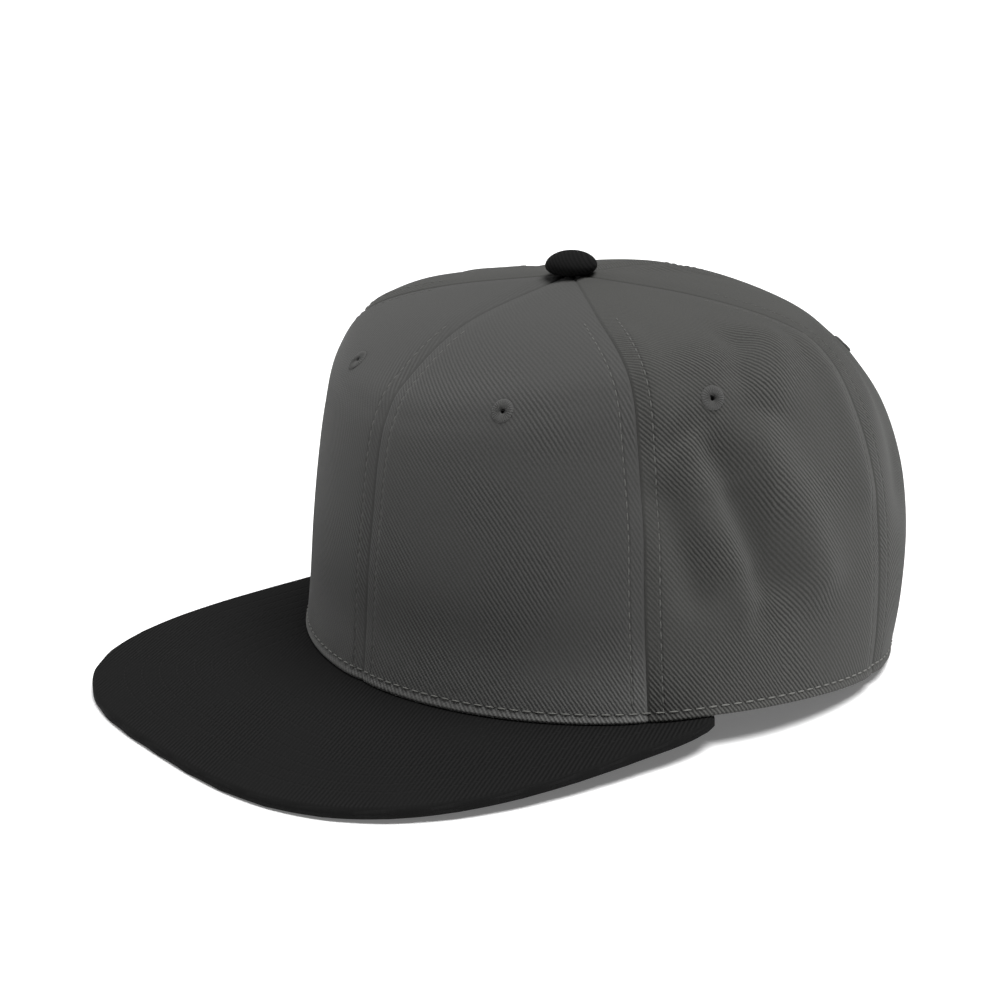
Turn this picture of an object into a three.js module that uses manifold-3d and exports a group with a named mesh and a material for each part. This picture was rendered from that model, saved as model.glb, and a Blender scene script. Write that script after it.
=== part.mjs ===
// A snapback cap: six crown panels, a flat peak, a covered button, stitched eyelets, a sweatband and the two
// halves of the snap closure. Millimetres, +Z up. The peak points along -Y and the wearer's left is +X.
// A place on the crown is a turn, in degrees from the front toward the wearer's left, and a share of the
// way from the hem (0) to the button (1).
import * as THREE from "three";
import { mergeVertices } from "three/addons/utils/BufferGeometryUtils.js";
import Module from "manifold-3d";

const wasm = await Module();
wasm.setup();

// Crown: reaches of the hem from the button's axis, and the height of its top
const FRONT_REACH = 79;
const SIDE_REACH = 94.5;
const BACK_REACH = 98.5;
const CROWN_TOP = 118;
const FRONT_HEM = 6.8;
const FRONT_SEAM_TURN = 60.5;
const SIDE_SEAM_TURN = 117.5;
const TOP_SHARE = 0.99;
const FULL_TURN = 360;
const TURN_PROBE = 0.4;
const SHARE_PROBE = 0.004;

// Cloth
const WALL = 1.8;
const CLEARANCE = 0.3;
const SEAM_DEPTH = 0.7;
const SEAM_SPREAD = 4;
const HEM_BAND = 0.08;
const CLOTH_REACH = 85;
const PANEL_LENGTH = 175;
const EDGE_EASE = 0.55;
const FOLD_DEPTH = 4;
const FOLD_SPREAD = 10;
const CUTTER_WALLS = 8;

// Peak: a flat plate with an oval outline, its tip on the surface the cap stands on
const BRIM_CENTRE_Y = -45;
const BRIM_FRONT = 100.5;
const BRIM_BACK = 46;
const BRIM_HALF_WIDTH = 94.5;
const BRIM_POWER = 3;
const BRIM_THICK = 3.4;
const BRIM_ROUND = 1.2;
const BRIM_CORNER_Y = -22;
const BRIM_STEPS = 64;

// Button and eyelets
const BUTTON_RADIUS = 7.8;
const BUTTON_RISE = 6.8;
const BUTTON_EDGE = 2.2;
const BUTTON_SIDES = 20;
const DOME_STEPS = 6;
const SHANK_RADIUS = 2.2;
const FLANGE_RADIUS = 5;
const FLANGE_THICK = 0.8;
const EYELET_HOLE = 0.9;
const EYELET_RADIUS = 3.4;
const EYELET_RISE = 0.8;
const EYELET_INNER_RADIUS = 2.6;
const EYELET_INNER_SEAT = 0.75;
const EYELET_SIDES = 10;
const SLEEVE_RADIUS = 1.9;
const CALM_SPREAD = 10;

// Sweatband
const SWEATBAND_HEIGHT = 34;
const SWEATBAND_THICK = 1.4;
const SWEATBAND_FOOT = 1;
const SWEATBAND_SLACK = 0.6;
const SWEATBAND_GAP_TURN = 1;

// Back opening and the snap closure
const ARCH_HALF_WIDTH = 45;
const ARCH_HEIGHT = 52;
const STRAP_HEIGHT = 18;
const STRAP_FOOT = 1;
const STRAP_THICK = 1.2;
const STRAP_SLACK = 0.5;
const STRAP_END = 58;
const SNAP_PITCH = 8.5;
const SNAP_COUNT = 7;
const FASTENED_COUNT = 5;
const SNAP_MARGIN = 5.5;
const SNAP_CORNER = 5;
const PEG_RADIUS = 1.6;
const PEG_HEAD_RADIUS = 2.05;
const PEG_RISE = 1.4;
const PEG_SIDES = 8;

// Crown profile at equal steps from hem to button: out is a share of the reach, up of the height over the hem
const PROFILE = [
  { frontOut: 1.00, frontUp: 0.00, sideOut: 1.00, sideUp: 0.00, backOut: 1.00, backUp: 0.00 },
  { frontOut: 0.98, frontUp: 0.14, sideOut: 0.98, sideUp: 0.12, backOut: 1.08, backUp: 0.15 },
  { frontOut: 0.96, frontUp: 0.30, sideOut: 0.96, sideUp: 0.30, backOut: 1.12, backUp: 0.31 },
  { frontOut: 0.93, frontUp: 0.45, sideOut: 0.94, sideUp: 0.49, backOut: 1.10, backUp: 0.47 },
  { frontOut: 0.90, frontUp: 0.59, sideOut: 0.90, sideUp: 0.67, backOut: 1.01, backUp: 0.64 },
  { frontOut: 0.86, frontUp: 0.69, sideOut: 0.85, sideUp: 0.83, backOut: 0.84, backUp: 0.78 },
  { frontOut: 0.77, frontUp: 0.78, sideOut: 0.74, sideUp: 0.91, backOut: 0.64, backUp: 0.91 },
  { frontOut: 0.49, frontUp: 0.91, sideOut: 0.44, sideUp: 0.96, backOut: 0.37, backUp: 0.99 },
  { frontOut: 0.00, frontUp: 1.00, sideOut: 0.00, sideUp: 1.00, backOut: 0.00, backUp: 1.00 },
];

// Folds on the wearer's left, between two places: a valley is below zero and a ridge above, as a share of
// the fold depth, and its breadth is a share of the fold spread
const FOLDS = [
  { name: "valley, upper", turn: 75.5, share: 0.51, toTurn: 81, toShare: 0.40, depth: -0.85, spread: 0.8 },
  { name: "valley, lower", turn: 81, share: 0.40, toTurn: 88.5, toShare: 0.30, depth: -1.0, spread: 0.8 },
  { name: "valley foot", turn: 87.5, share: 0.25, toTurn: 86.5, toShare: 0.21, depth: -0.45, spread: 0.6 },
  { name: "short valley", turn: 65.5, share: 0.42, toTurn: 71, toShare: 0.27, depth: -0.45, spread: 0.5 },
  { name: "long ridge", turn: 67.5, share: 0.51, toTurn: 77, toShare: 0.31, depth: 0.55, spread: 0.55 },
  { name: "ridge foot", turn: 77, share: 0.31, toTurn: 80, toShare: 0.22, depth: 0.4, spread: 0.5 },
  { name: "second ridge", turn: 86, share: 0.505, toTurn: 98, toShare: 0.29, depth: 0.5, spread: 0.75 },
  { name: "roll, front seam", turn: 66, share: 0.80, toTurn: 66, toShare: 0.55, depth: 0.25, spread: 0.6 },
  { name: "upper ridge", turn: 95, share: 0.72, toTurn: 92, toShare: 0.58, depth: 0.5, spread: 0.8 },
  { name: "upper hollow", turn: 86, share: 0.68, toTurn: 85, toShare: 0.57, depth: -0.4, spread: 0.7 },
  { name: "roll, side seam", turn: 112, share: 0.70, toTurn: 113, toShare: 0.38, depth: 0.3, spread: 0.6 },
  { name: "slack of the back", turn: 140, share: 0.62, toTurn: 132, toShare: 0.36, depth: -0.5, spread: 1.1 },
];

// The cloth of the other side falls alike, a little higher and flatter
const OTHER_SIDE_LIFT = 0.03;
const OTHER_SIDE_DEPTH = 0.75;

const EYELETS = [
  { name: "eyelet_front_left", turn: 32.2, share: 0.663 },
  { name: "eyelet_front_right", turn: -24.6, share: 0.73 },
  { name: "eyelet_side_left", turn: 77.9, share: 0.593 },
  { name: "eyelet_side_right", turn: -77.9, share: 0.593 },
  { name: "eyelet_back_left", turn: 148, share: 0.62 },
  { name: "eyelet_back_right", turn: -148, share: 0.62 },
];

const PANELS = [
  { name: "panel_front_left", turn: 0, toTurn: FRONT_SEAM_TURN, columns: 12, rows: 15 },
  { name: "panel_front_right", turn: -FRONT_SEAM_TURN, toTurn: 0, columns: 12, rows: 15 },
  { name: "panel_side_left", turn: FRONT_SEAM_TURN, toTurn: SIDE_SEAM_TURN, columns: 16, rows: 20 },
  { name: "panel_side_right", turn: -SIDE_SEAM_TURN, toTurn: -FRONT_SEAM_TURN, columns: 16, rows: 20 },
  { name: "panel_back_left", turn: SIDE_SEAM_TURN, toTurn: 180, columns: 12, rows: 15 },
  { name: "panel_back_right", turn: 180, toTurn: FULL_TURN - SIDE_SEAM_TURN, columns: 12, rows: 15 },
];

const SEAM_TURNS = [0, FRONT_SEAM_TURN, SIDE_SEAM_TURN, 180, -SIDE_SEAM_TURN, -FRONT_SEAM_TURN];

const greyTwill = new THREE.MeshStandardMaterial({ color: 0x5c5c5b, roughness: 0.95, metalness: 0 });
const greyThread = new THREE.MeshStandardMaterial({ color: 0x50504f, roughness: 0.9, metalness: 0 });
const blackTwill = new THREE.MeshStandardMaterial({ color: 0x262626, roughness: 0.95, metalness: 0 });
const blackCotton = new THREE.MeshStandardMaterial({ color: 0x202020, roughness: 1, metalness: 0 });
const blackPlastic = new THREE.MeshStandardMaterial({ color: 0x1c1c1c, roughness: 0.45, metalness: 0 });

const { degToRad, radToDeg, lerp, smoothstep, clamp } = THREE.MathUtils;

// Profile curves: x is out and y is up

function profileCurve(side) {
  const points = PROFILE.map((row) => new THREE.Vector3(row[`${side}Out`], row[`${side}Up`], 0));
  return new THREE.CatmullRomCurve3(points, false, "catmullrom", 0.5);
}

const profiles = { front: profileCurve("front"), side: profileCurve("side"), back: profileCurve("back") };

// Peak heights: its underside meets the ground at the tip, and its top carries the front of the hem

const BRIM_TIP_Y = BRIM_CENTRE_Y - BRIM_FRONT;
const BRIM_SLOPE = (FRONT_HEM - CLEARANCE - BRIM_THICK) / (-FRONT_REACH - BRIM_TIP_Y);

function brimTop(y) {
  return BRIM_THICK + BRIM_SLOPE * (y - BRIM_TIP_Y);
}

function hemHeight(y) {
  const onBrim = brimTop(Math.min(y, BRIM_CORNER_Y)) + CLEARANCE;
  return onBrim * (1 - smoothstep(y, BRIM_CORNER_Y, BACK_REACH));
}

// Crown surface without seams and folds

function plainSkin(turn, share) {
  const angle = degToRad(turn);
  const forward = Math.cos(angle) > 0;
  const along = profiles[forward ? "front" : "back"].getPoint(share);
  const across = profiles.side.getPoint(share);
  const reach = forward ? FRONT_REACH : BACK_REACH;
  const facing = Math.cos(angle) ** 2;
  const hem = hemHeight(-reach * Math.cos(angle));
  const up = along.y * facing + across.y * (1 - facing);
  const x = SIDE_REACH * across.x * Math.sin(angle);
  const y = -reach * along.x * Math.cos(angle);
  return new THREE.Vector3(x, y, lerp(hem, CROWN_TOP, up));
}

function normalOf(surface, turn, share) {
  const low = Math.max(share - SHARE_PROBE, 0);
  const high = Math.min(share + SHARE_PROBE, TOP_SHARE);
  const across = surface(turn + TURN_PROBE, share).sub(surface(turn - TURN_PROBE, share));
  const up = surface(turn, high).sub(surface(turn, low));
  return across.cross(up).normalize();
}

function wrapTurn(turn) {
  return turn - FULL_TURN * Math.round(turn / FULL_TURN);
}

// Seams pull the cloth in, folds run between two places, and the stitching of an eyelet keeps its cloth flat

function seamRelief(turn, share) {
  const reach = Math.max(SIDE_REACH * profiles.side.getPoint(share).x, SEAM_SPREAD);
  let nearest = FULL_TURN;
  for (const seam of SEAM_TURNS) {
    nearest = Math.min(nearest, Math.abs(wrapTurn(turn - seam)));
  }
  const distance = degToRad(nearest) * reach;
  return -SEAM_DEPTH * Math.exp(-((distance / SEAM_SPREAD) ** 2));
}

function clothPlace(turn, share) {
  return new THREE.Vector2(degToRad(turn) * CLOTH_REACH, share * PANEL_LENGTH);
}

function foldRelief(turn, share) {
  const side = wrapTurn(turn);
  const other = side < 0;
  const here = clothPlace(Math.abs(side), share - (other ? OTHER_SIDE_LIFT : 0));
  let relief = 0;
  for (const fold of FOLDS) {
    const start = clothPlace(fold.turn, fold.share);
    const run = clothPlace(fold.toTurn, fold.toShare).sub(start);
    const along = clamp(here.clone().sub(start).dot(run) / run.lengthSq(), 0, 1);
    const distance = here.distanceTo(start.addScaledVector(run, along));
    const spread = fold.spread * FOLD_SPREAD;
    relief += fold.depth * FOLD_DEPTH * Math.exp(-((distance / spread) ** 2));
  }
  return relief * (other ? OTHER_SIDE_DEPTH : 1);
}

function calm(turn, share) {
  const here = clothPlace(wrapTurn(turn), share);
  let factor = 1;
  for (const eyelet of EYELETS) {
    const distance = here.distanceTo(clothPlace(eyelet.turn, eyelet.share));
    factor *= 1 - Math.exp(-((distance / CALM_SPREAD) ** 2));
  }
  return factor;
}

function skin(turn, share) {
  const relief = seamRelief(turn, share) + foldRelief(turn, share) * calm(turn, share);
  return plainSkin(turn, share).addScaledVector(normalOf(plainSkin, turn, share), relief);
}

// A place at a depth under a surface; at the hem the depth is measured level

function under(surface, turn, share, depth) {
  const normal = normalOf(surface, turn, share);
  normal.z *= smoothstep(share, 0, HEM_BAND);
  return surface(turn, share).addScaledVector(normal.normalize(), -depth);
}

// Solids: a box of unit size whose corners and steps are moved into place, and cuts and joins

function movedBox(columns, rows, place) {
  const box = new THREE.BoxGeometry(1, 1, 1, columns, rows, 1);
  box.deleteAttribute("normal");
  box.deleteAttribute("uv");
  const geometry = mergeVertices(box, 1e-5);
  const position = geometry.attributes.position;
  for (let index = 0; index < position.count; index++) {
    const across = position.getX(index) + 0.5;
    const up = position.getY(index) + 0.5;
    const out = position.getZ(index) + 0.5;
    const point = place(across, up, out);
    position.setXYZ(index, point.x, point.y, point.z);
  }
  return geometry;
}

function toSolid(geometry) {
  const bare = geometry.clone();
  bare.deleteAttribute("normal");
  bare.deleteAttribute("uv");
  const merged = mergeVertices(bare, 1e-4);
  const vertProperties = new Float32Array(merged.attributes.position.array);
  const triVerts = new Uint32Array(merged.index.array);
  return new wasm.Manifold(new wasm.Mesh({ numProp: 3, vertProperties, triVerts }));
}

function toGeometry(solid) {
  const mesh = solid.getMesh();
  const geometry = new THREE.BufferGeometry();
  geometry.setAttribute("position", new THREE.BufferAttribute(new Float32Array(mesh.vertProperties), 3));
  geometry.setIndex(new THREE.BufferAttribute(new Uint32Array(mesh.triVerts), 1));
  return geometry;
}

function aimed(geometry, point, direction) {
  const turned = new THREE.Quaternion().setFromUnitVectors(new THREE.Vector3(0, 1, 0), direction);
  return geometry.clone().applyQuaternion(turned).translate(point.x, point.y, point.z);
}

// Crown panels

// Columns stand closer together beside the seams
function easeToEdges(share) {
  return share - (EDGE_EASE / (2 * Math.PI)) * Math.sin(2 * Math.PI * share);
}

function panelShell(panel) {
  return movedBox(panel.columns, panel.rows, (across, up, out) => {
    const share = up * TOP_SHARE;
    const place = plainSkin(lerp(panel.turn, panel.toTurn, across), share);
    const trim = radToDeg(CLEARANCE / 2 / Math.hypot(place.x, place.y));
    const turn = lerp(panel.turn + trim, panel.toTurn - trim, easeToEdges(across));
    return under(skin, turn, share, WALL * (1 - out));
  });
}

function archCutter() {
  const shape = new THREE.Shape();
  shape.moveTo(ARCH_HALF_WIDTH, -ARCH_HEIGHT);
  shape.lineTo(ARCH_HALF_WIDTH, 0);
  shape.absellipse(0, 0, ARCH_HALF_WIDTH, ARCH_HEIGHT, 0, Math.PI);
  shape.lineTo(-ARCH_HALF_WIDTH, -ARCH_HEIGHT);
  const depth = 2 * BACK_REACH;
  const cutter = new THREE.ExtrudeGeometry(shape, { depth, bevelEnabled: false, curveSegments: 28 });
  return toSolid(cutter.rotateX(Math.PI / 2).translate(0, depth, 0));
}

function eyeletCutter(eyelet) {
  const radius = SLEEVE_RADIUS + CLEARANCE;
  const hole = new THREE.CylinderGeometry(radius, radius, CUTTER_WALLS * WALL, EYELET_SIDES + 2);
  return toSolid(aimed(hole, skin(eyelet.turn, eyelet.share), normalOf(skin, eyelet.turn, eyelet.share)));
}

function crownPanel(panel) {
  let solid = toSolid(panelShell(panel));
  for (const eyelet of EYELETS) {
    const from = wrapTurn(eyelet.turn - panel.turn);
    if (from > 0 && from < panel.toTurn - panel.turn) {
      solid = solid.subtract(eyeletCutter(eyelet));
    }
  }
  if (panel.name.includes("back")) {
    solid = solid.subtract(archCutter());
  }
  return toGeometry(solid);
}

function eyeletRing() {
  const foot = -WALL - EYELET_INNER_SEAT;
  const outline = [
    [EYELET_HOLE, foot - EYELET_RISE / 2],
    [EYELET_INNER_RADIUS, foot - EYELET_RISE / 2],
    [EYELET_INNER_RADIUS, foot],
    [SLEEVE_RADIUS, foot],
    [SLEEVE_RADIUS, CLEARANCE],
    [EYELET_RADIUS, CLEARANCE],
    [EYELET_RADIUS * 0.75, EYELET_RISE + CLEARANCE],
    [EYELET_HOLE * 1.6, EYELET_RISE + CLEARANCE / 2],
    [EYELET_HOLE, CLEARANCE],
    [EYELET_HOLE, foot - EYELET_RISE / 2],
  ];
  const points = outline.map(([radius, height]) => new THREE.Vector2(radius, height));
  return new THREE.LatheGeometry(points, EYELET_SIDES);
}

// Button: a dome over the crown's top, a shank through it and a flange inside

function topHeights(radius) {
  const heights = [];
  for (let turn = 0; turn < FULL_TURN; turn += 15) {
    let low = 0.8;
    let high = 1;
    for (let step = 0; step < 30; step++) {
      const share = (low + high) / 2;
      const place = plainSkin(turn, share);
      if (Math.hypot(place.x, place.y) > radius) {
        low = share;
      } else {
        high = share;
      }
    }
    heights.push(plainSkin(turn, low).z);
  }
  return { low: Math.min(...heights), high: Math.max(...heights) };
}

function buttonProfile() {
  const seat = CROWN_TOP + CLEARANCE;
  const rim = topHeights(BUTTON_RADIUS).high + CLEARANCE;
  const flange = topHeights(FLANGE_RADIUS + WALL).low - WALL - CLEARANCE;
  const points = [
    new THREE.Vector2(0, flange - FLANGE_THICK),
    new THREE.Vector2(FLANGE_RADIUS, flange - FLANGE_THICK),
    new THREE.Vector2(FLANGE_RADIUS, flange),
    new THREE.Vector2(SHANK_RADIUS, flange),
    new THREE.Vector2(SHANK_RADIUS, seat),
    new THREE.Vector2(BUTTON_RADIUS * 0.75, rim),
  ];
  for (let step = 0; step <= DOME_STEPS; step++) {
    const angle = (Math.PI / 2) * (step / DOME_STEPS);
    const rise = lerp(BUTTON_EDGE, BUTTON_RISE, Math.sin(angle));
    const radius = step === DOME_STEPS ? 0 : BUTTON_RADIUS * Math.cos(angle);
    points.push(new THREE.Vector2(radius, rim + rise));
  }
  return points;
}

function buttonSolid() {
  return new THREE.LatheGeometry(buttonProfile(), BUTTON_SIDES).rotateX(Math.PI / 2);
}

// Peak

function brimOutline() {
  const points = [];
  for (let step = 0; step < BRIM_STEPS; step++) {
    const angle = (2 * Math.PI * step) / BRIM_STEPS;
    const across = Math.sin(angle);
    const along = -Math.cos(angle);
    const reach = along < 0 ? BRIM_FRONT : BRIM_BACK;
    const sum = Math.abs(across / BRIM_HALF_WIDTH) ** BRIM_POWER + Math.abs(along / reach) ** BRIM_POWER;
    const radius = sum ** (-1 / BRIM_POWER);
    points.push(new THREE.Vector2(radius * across, BRIM_CENTRE_Y + radius * along));
  }
  return new THREE.Shape(points);
}

function headOutline(inset) {
  const points = [];
  for (let turn = 0; turn < FULL_TURN; turn += 5) {
    const place = plainSkin(turn, 0);
    const outward = new THREE.Vector2(place.x / SIDE_REACH ** 2, place.y / FRONT_REACH ** 2).normalize();
    points.push(new THREE.Vector2(place.x, place.y).addScaledVector(outward, -inset));
  }
  return new THREE.Shape(points);
}

function brimSolid() {
  const plate = new THREE.ExtrudeGeometry(brimOutline(), {
    depth: BRIM_THICK - 2 * BRIM_ROUND,
    bevelThickness: BRIM_ROUND,
    bevelSize: BRIM_ROUND,
    bevelOffset: -BRIM_ROUND,
    bevelSegments: 2,
  });
  plate.translate(0, 0, BRIM_ROUND);
  const depth = CUTTER_WALLS * BRIM_THICK;
  const head = new THREE.ExtrudeGeometry(headOutline(WALL), { depth, bevelEnabled: false });
  head.translate(0, 0, -BRIM_THICK);
  const geometry = toGeometry(toSolid(plate).subtract(toSolid(head)));
  const tilt = new THREE.Matrix4().makeShear(0, 0, 0, BRIM_SLOPE, 0, 0);
  return geometry.applyMatrix4(tilt).translate(0, 0, -BRIM_SLOPE * BRIM_TIP_Y);
}

// Snap closure: two bands that bridge the back opening; a run is counted in millimetres from the middle
// of the back toward the wearer's left

const STRAP_ARC = (SIDE_REACH + BACK_REACH) / 2;
const STRAP_TIP = ((FASTENED_COUNT - 1) / 2) * SNAP_PITCH + SNAP_MARGIN;

function strapTurn(run) {
  return 180 - radToDeg(run / STRAP_ARC);
}

function strapPlace(run, height, depth) {
  return under(plainSkin, strapTurn(run), height / PANEL_LENGTH, depth);
}

function outerDepth() {
  return WALL + STRAP_SLACK;
}

// The band with the pegs lies inside the other where they overlap, and comes out level where it is sewn
function innerDepth(run) {
  const inside = smoothstep(run, -ARCH_HALF_WIDTH, -STRAP_TIP - STRAP_THICK);
  return outerDepth() + inside * (STRAP_THICK + CLEARANCE);
}

function strapBand(from, to, depthAt) {
  return toSolid(movedBox(16, 1, (across, up, out) => {
    const run = lerp(to, from, across);
    const tipGap = STRAP_TIP - Math.abs(run);
    const atTip = Math.sign(run) === Math.sign(Math.abs(from) < Math.abs(to) ? from : to);
    const free = atTip && tipGap < SNAP_CORNER ? SNAP_CORNER - tipGap : 0;
    const trim = SNAP_CORNER - Math.sqrt(SNAP_CORNER ** 2 - Math.min(free, SNAP_CORNER) ** 2);
    const height = lerp(STRAP_FOOT + trim, STRAP_FOOT + STRAP_HEIGHT - trim, up);
    return strapPlace(run, height, depthAt(run) + STRAP_THICK * (1 - out));
  }));
}

function snapRuns(side) {
  const runs = [];
  for (let index = 0; index < SNAP_COUNT; index++) {
    runs.push(side * (index * SNAP_PITCH - ((FASTENED_COUNT - 1) / 2) * SNAP_PITCH));
  }
  return runs;
}

function strapHoles() {
  let solid = strapBand(-STRAP_TIP, STRAP_END, outerDepth);
  const radius = PEG_RADIUS + CLEARANCE;
  for (const run of snapRuns(1)) {
    const middle = strapPlace(run, STRAP_FOOT + STRAP_HEIGHT / 2, outerDepth());
    const hole = new THREE.CylinderGeometry(radius, radius, CUTTER_WALLS * STRAP_THICK, PEG_SIDES);
    const outward = normalOf(plainSkin, strapTurn(run), (STRAP_FOOT + STRAP_HEIGHT / 2) / PANEL_LENGTH);
    solid = solid.subtract(toSolid(aimed(hole, middle, outward)));
  }
  return toGeometry(solid);
}

function pegSolid() {
  const neck = STRAP_THICK + 2 * CLEARANCE;
  const profile = [
    [0, -STRAP_THICK / 2],
    [PEG_RADIUS, -STRAP_THICK / 2],
    [PEG_RADIUS, neck],
    [PEG_HEAD_RADIUS, neck + PEG_RISE / 3],
    [PEG_RADIUS, neck + PEG_RISE * 0.8],
    [0, neck + PEG_RISE],
  ];
  const points = profile.map(([radius, height]) => new THREE.Vector2(radius, height));
  return new THREE.LatheGeometry(points, PEG_SIDES);
}

function strapPegs() {
  let solid = strapBand(-STRAP_END, STRAP_TIP, innerDepth);
  for (const run of snapRuns(-1)) {
    const root = strapPlace(run, STRAP_FOOT + STRAP_HEIGHT / 2, innerDepth(run));
    const outward = normalOf(plainSkin, strapTurn(run), (STRAP_FOOT + STRAP_HEIGHT / 2) / PANEL_LENGTH);
    solid = solid.add(toSolid(aimed(pegSolid(), root, outward)));
  }
  return toGeometry(solid);
}

// Sweatband: from one sewn end of the closure round the front to the other

function sweatbandSolid() {
  const end = strapTurn(STRAP_END) - SWEATBAND_GAP_TURN;
  return movedBox(44, 2, (across, up, out) => {
    const turn = lerp(-end, end, across);
    const height = lerp(SWEATBAND_FOOT, SWEATBAND_FOOT + SWEATBAND_HEIGHT, up);
    return under(skin, turn, height / PANEL_LENGTH, WALL + SWEATBAND_SLACK + SWEATBAND_THICK * (1 - out));
  });
}

// Scene graph

const cap = new THREE.Group();
cap.name = "cap";

function addPiece(parent, name, geometry, material) {
  const mesh = new THREE.Mesh(geometry, material);
  mesh.name = name;
  parent.add(mesh);
  return mesh;
}

const crown = new THREE.Group();
cap.add(crown);
for (const panel of PANELS) {
  addPiece(crown, panel.name, crownPanel(panel), greyTwill);
}
for (const eyelet of EYELETS) {
  const ring = addPiece(crown, eyelet.name, eyeletRing(), greyThread);
  ring.position.copy(skin(eyelet.turn, eyelet.share));
  ring.quaternion.setFromUnitVectors(new THREE.Vector3(0, 1, 0), normalOf(skin, eyelet.turn, eyelet.share));
}
addPiece(crown, "button", buttonSolid(), blackTwill);
addPiece(cap, "brim", brimSolid(), blackTwill);
addPiece(cap, "sweatband", sweatbandSolid(), blackCotton);

const closure = new THREE.Group();
cap.add(closure);
addPiece(closure, "strap_holes", strapHoles(), blackPlastic);
addPiece(closure, "strap_pegs", strapPegs(), blackPlastic);

// The origin is at the middle of the cap's box, on the surface it stands on
cap.updateMatrixWorld(true);
const box = new THREE.Box3().setFromObject(cap);
cap.position.set(-(box.min.x + box.max.x) / 2, -(box.min.y + box.max.y) / 2, -box.min.z);

export default cap;
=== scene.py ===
"""Snapback cap: the looks of its twill crown, flat peak, covered button, eyelets, sweatband and snap closure.

The cap's form is worked out in millimetres from the button's axis, by the same rules as the solids of the
frame, with folds of its own, and each mesh is turned into metres of the frame when it is finished. A place
on the crown is a turn, in degrees from the front toward the wearer's left, and a share of the way from the
hem to the button.
"""

import logging
import math
from dataclasses import dataclass, replace
from enum import Enum
from typing import Callable, Iterable, NamedTuple, Sequence

import bmesh
import bpy
import numpy as np
from mathutils import Matrix, Vector

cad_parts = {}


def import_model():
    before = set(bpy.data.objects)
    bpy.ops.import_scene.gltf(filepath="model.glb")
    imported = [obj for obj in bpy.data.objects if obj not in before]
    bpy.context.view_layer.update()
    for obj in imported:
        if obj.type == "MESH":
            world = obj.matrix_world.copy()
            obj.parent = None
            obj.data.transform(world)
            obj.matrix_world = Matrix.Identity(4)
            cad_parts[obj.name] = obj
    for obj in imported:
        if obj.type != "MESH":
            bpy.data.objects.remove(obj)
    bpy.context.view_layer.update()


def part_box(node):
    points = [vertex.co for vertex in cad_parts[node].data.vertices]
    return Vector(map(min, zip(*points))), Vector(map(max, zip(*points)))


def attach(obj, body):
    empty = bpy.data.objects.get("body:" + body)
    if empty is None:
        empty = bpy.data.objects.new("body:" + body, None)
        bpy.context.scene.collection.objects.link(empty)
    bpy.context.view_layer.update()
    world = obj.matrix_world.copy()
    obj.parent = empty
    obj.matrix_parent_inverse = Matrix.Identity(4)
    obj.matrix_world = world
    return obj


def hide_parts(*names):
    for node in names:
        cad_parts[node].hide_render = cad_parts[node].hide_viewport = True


log = logging.getLogger("cap")

MM = 0.001
PICTURE_PIXELS = 1000.0
SENSOR_MM = 36.0
FULL_TURN = 360.0
# Entry of the rows map, in millimetres, where a cloth has no stitched edge or hem nearby.
NO_ROW = 40.0


class Side(Enum):
    """The three named profiles of the crown."""

    FRONT = "front"
    ACROSS = "across"
    BACK = "back"


class ProfileRow(NamedTuple):
    """One step of the crown's profiles: out is a share of the reach, up of the height over the hem."""

    front_out: float
    front_up: float
    across_out: float
    across_up: float
    back_out: float
    back_up: float


class Fold(NamedTuple):
    """A valley (depth below zero) or ridge between two places, in shares of the fold depth and spread."""

    turn: float
    share: float
    to_turn: float
    to_share: float
    depth: float
    spread: float


class Place(NamedTuple):
    """A named place on the crown."""

    name: str
    turn: float
    share: float


PROFILE = (
    ProfileRow(1.00, 0.00, 1.00, 0.00, 1.00, 0.00),
    ProfileRow(0.98, 0.14, 0.98, 0.12, 1.08, 0.15),
    ProfileRow(0.96, 0.30, 0.96, 0.30, 1.12, 0.31),
    ProfileRow(0.93, 0.45, 0.94, 0.49, 1.10, 0.47),
    ProfileRow(0.90, 0.59, 0.90, 0.67, 1.01, 0.64),
    ProfileRow(0.86, 0.69, 0.85, 0.83, 0.84, 0.78),
    ProfileRow(0.77, 0.78, 0.74, 0.91, 0.64, 0.91),
    ProfileRow(0.49, 0.91, 0.44, 0.96, 0.37, 0.99),
    ProfileRow(0.00, 1.00, 0.00, 1.00, 0.00, 1.00),
)

FOLDS = (
    Fold(77.0, 0.49, 81.0, 0.41, -0.9, 0.75),
    Fold(81.0, 0.41, 86.0, 0.33, -1.2, 0.85),
    Fold(86.0, 0.33, 89.0, 0.27, -1.15, 0.8),
    Fold(88.0, 0.24, 86.0, 0.21, -0.45, 0.6),
    Fold(88.0, 0.5, 94.0, 0.38, 0.85, 0.85),
    Fold(94.0, 0.38, 98.0, 0.26, 0.85, 0.85),
    Fold(65.0, 0.43, 71.0, 0.26, -0.65, 0.55),
    Fold(72.0, 0.5, 76.0, 0.4, 0.5, 0.55),
    Fold(76.0, 0.4, 80.0, 0.3, 0.6, 0.6),
    Fold(80.0, 0.3, 82.0, 0.22, 0.4, 0.5),
    Fold(91.0, 0.74, 86.0, 0.63, -0.5, 0.65),
    Fold(101.0, 0.72, 93.0, 0.6, 0.5, 0.95),
    Fold(75.0, 0.55, 67.0, 0.53, -0.3, 0.5),
    Fold(66.0, 0.8, 66.0, 0.55, 0.25, 0.6),
    Fold(112.0, 0.7, 113.0, 0.38, 0.3, 0.6),
    Fold(140.0, 0.62, 132.0, 0.36, -0.5, 1.1),
)

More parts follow.
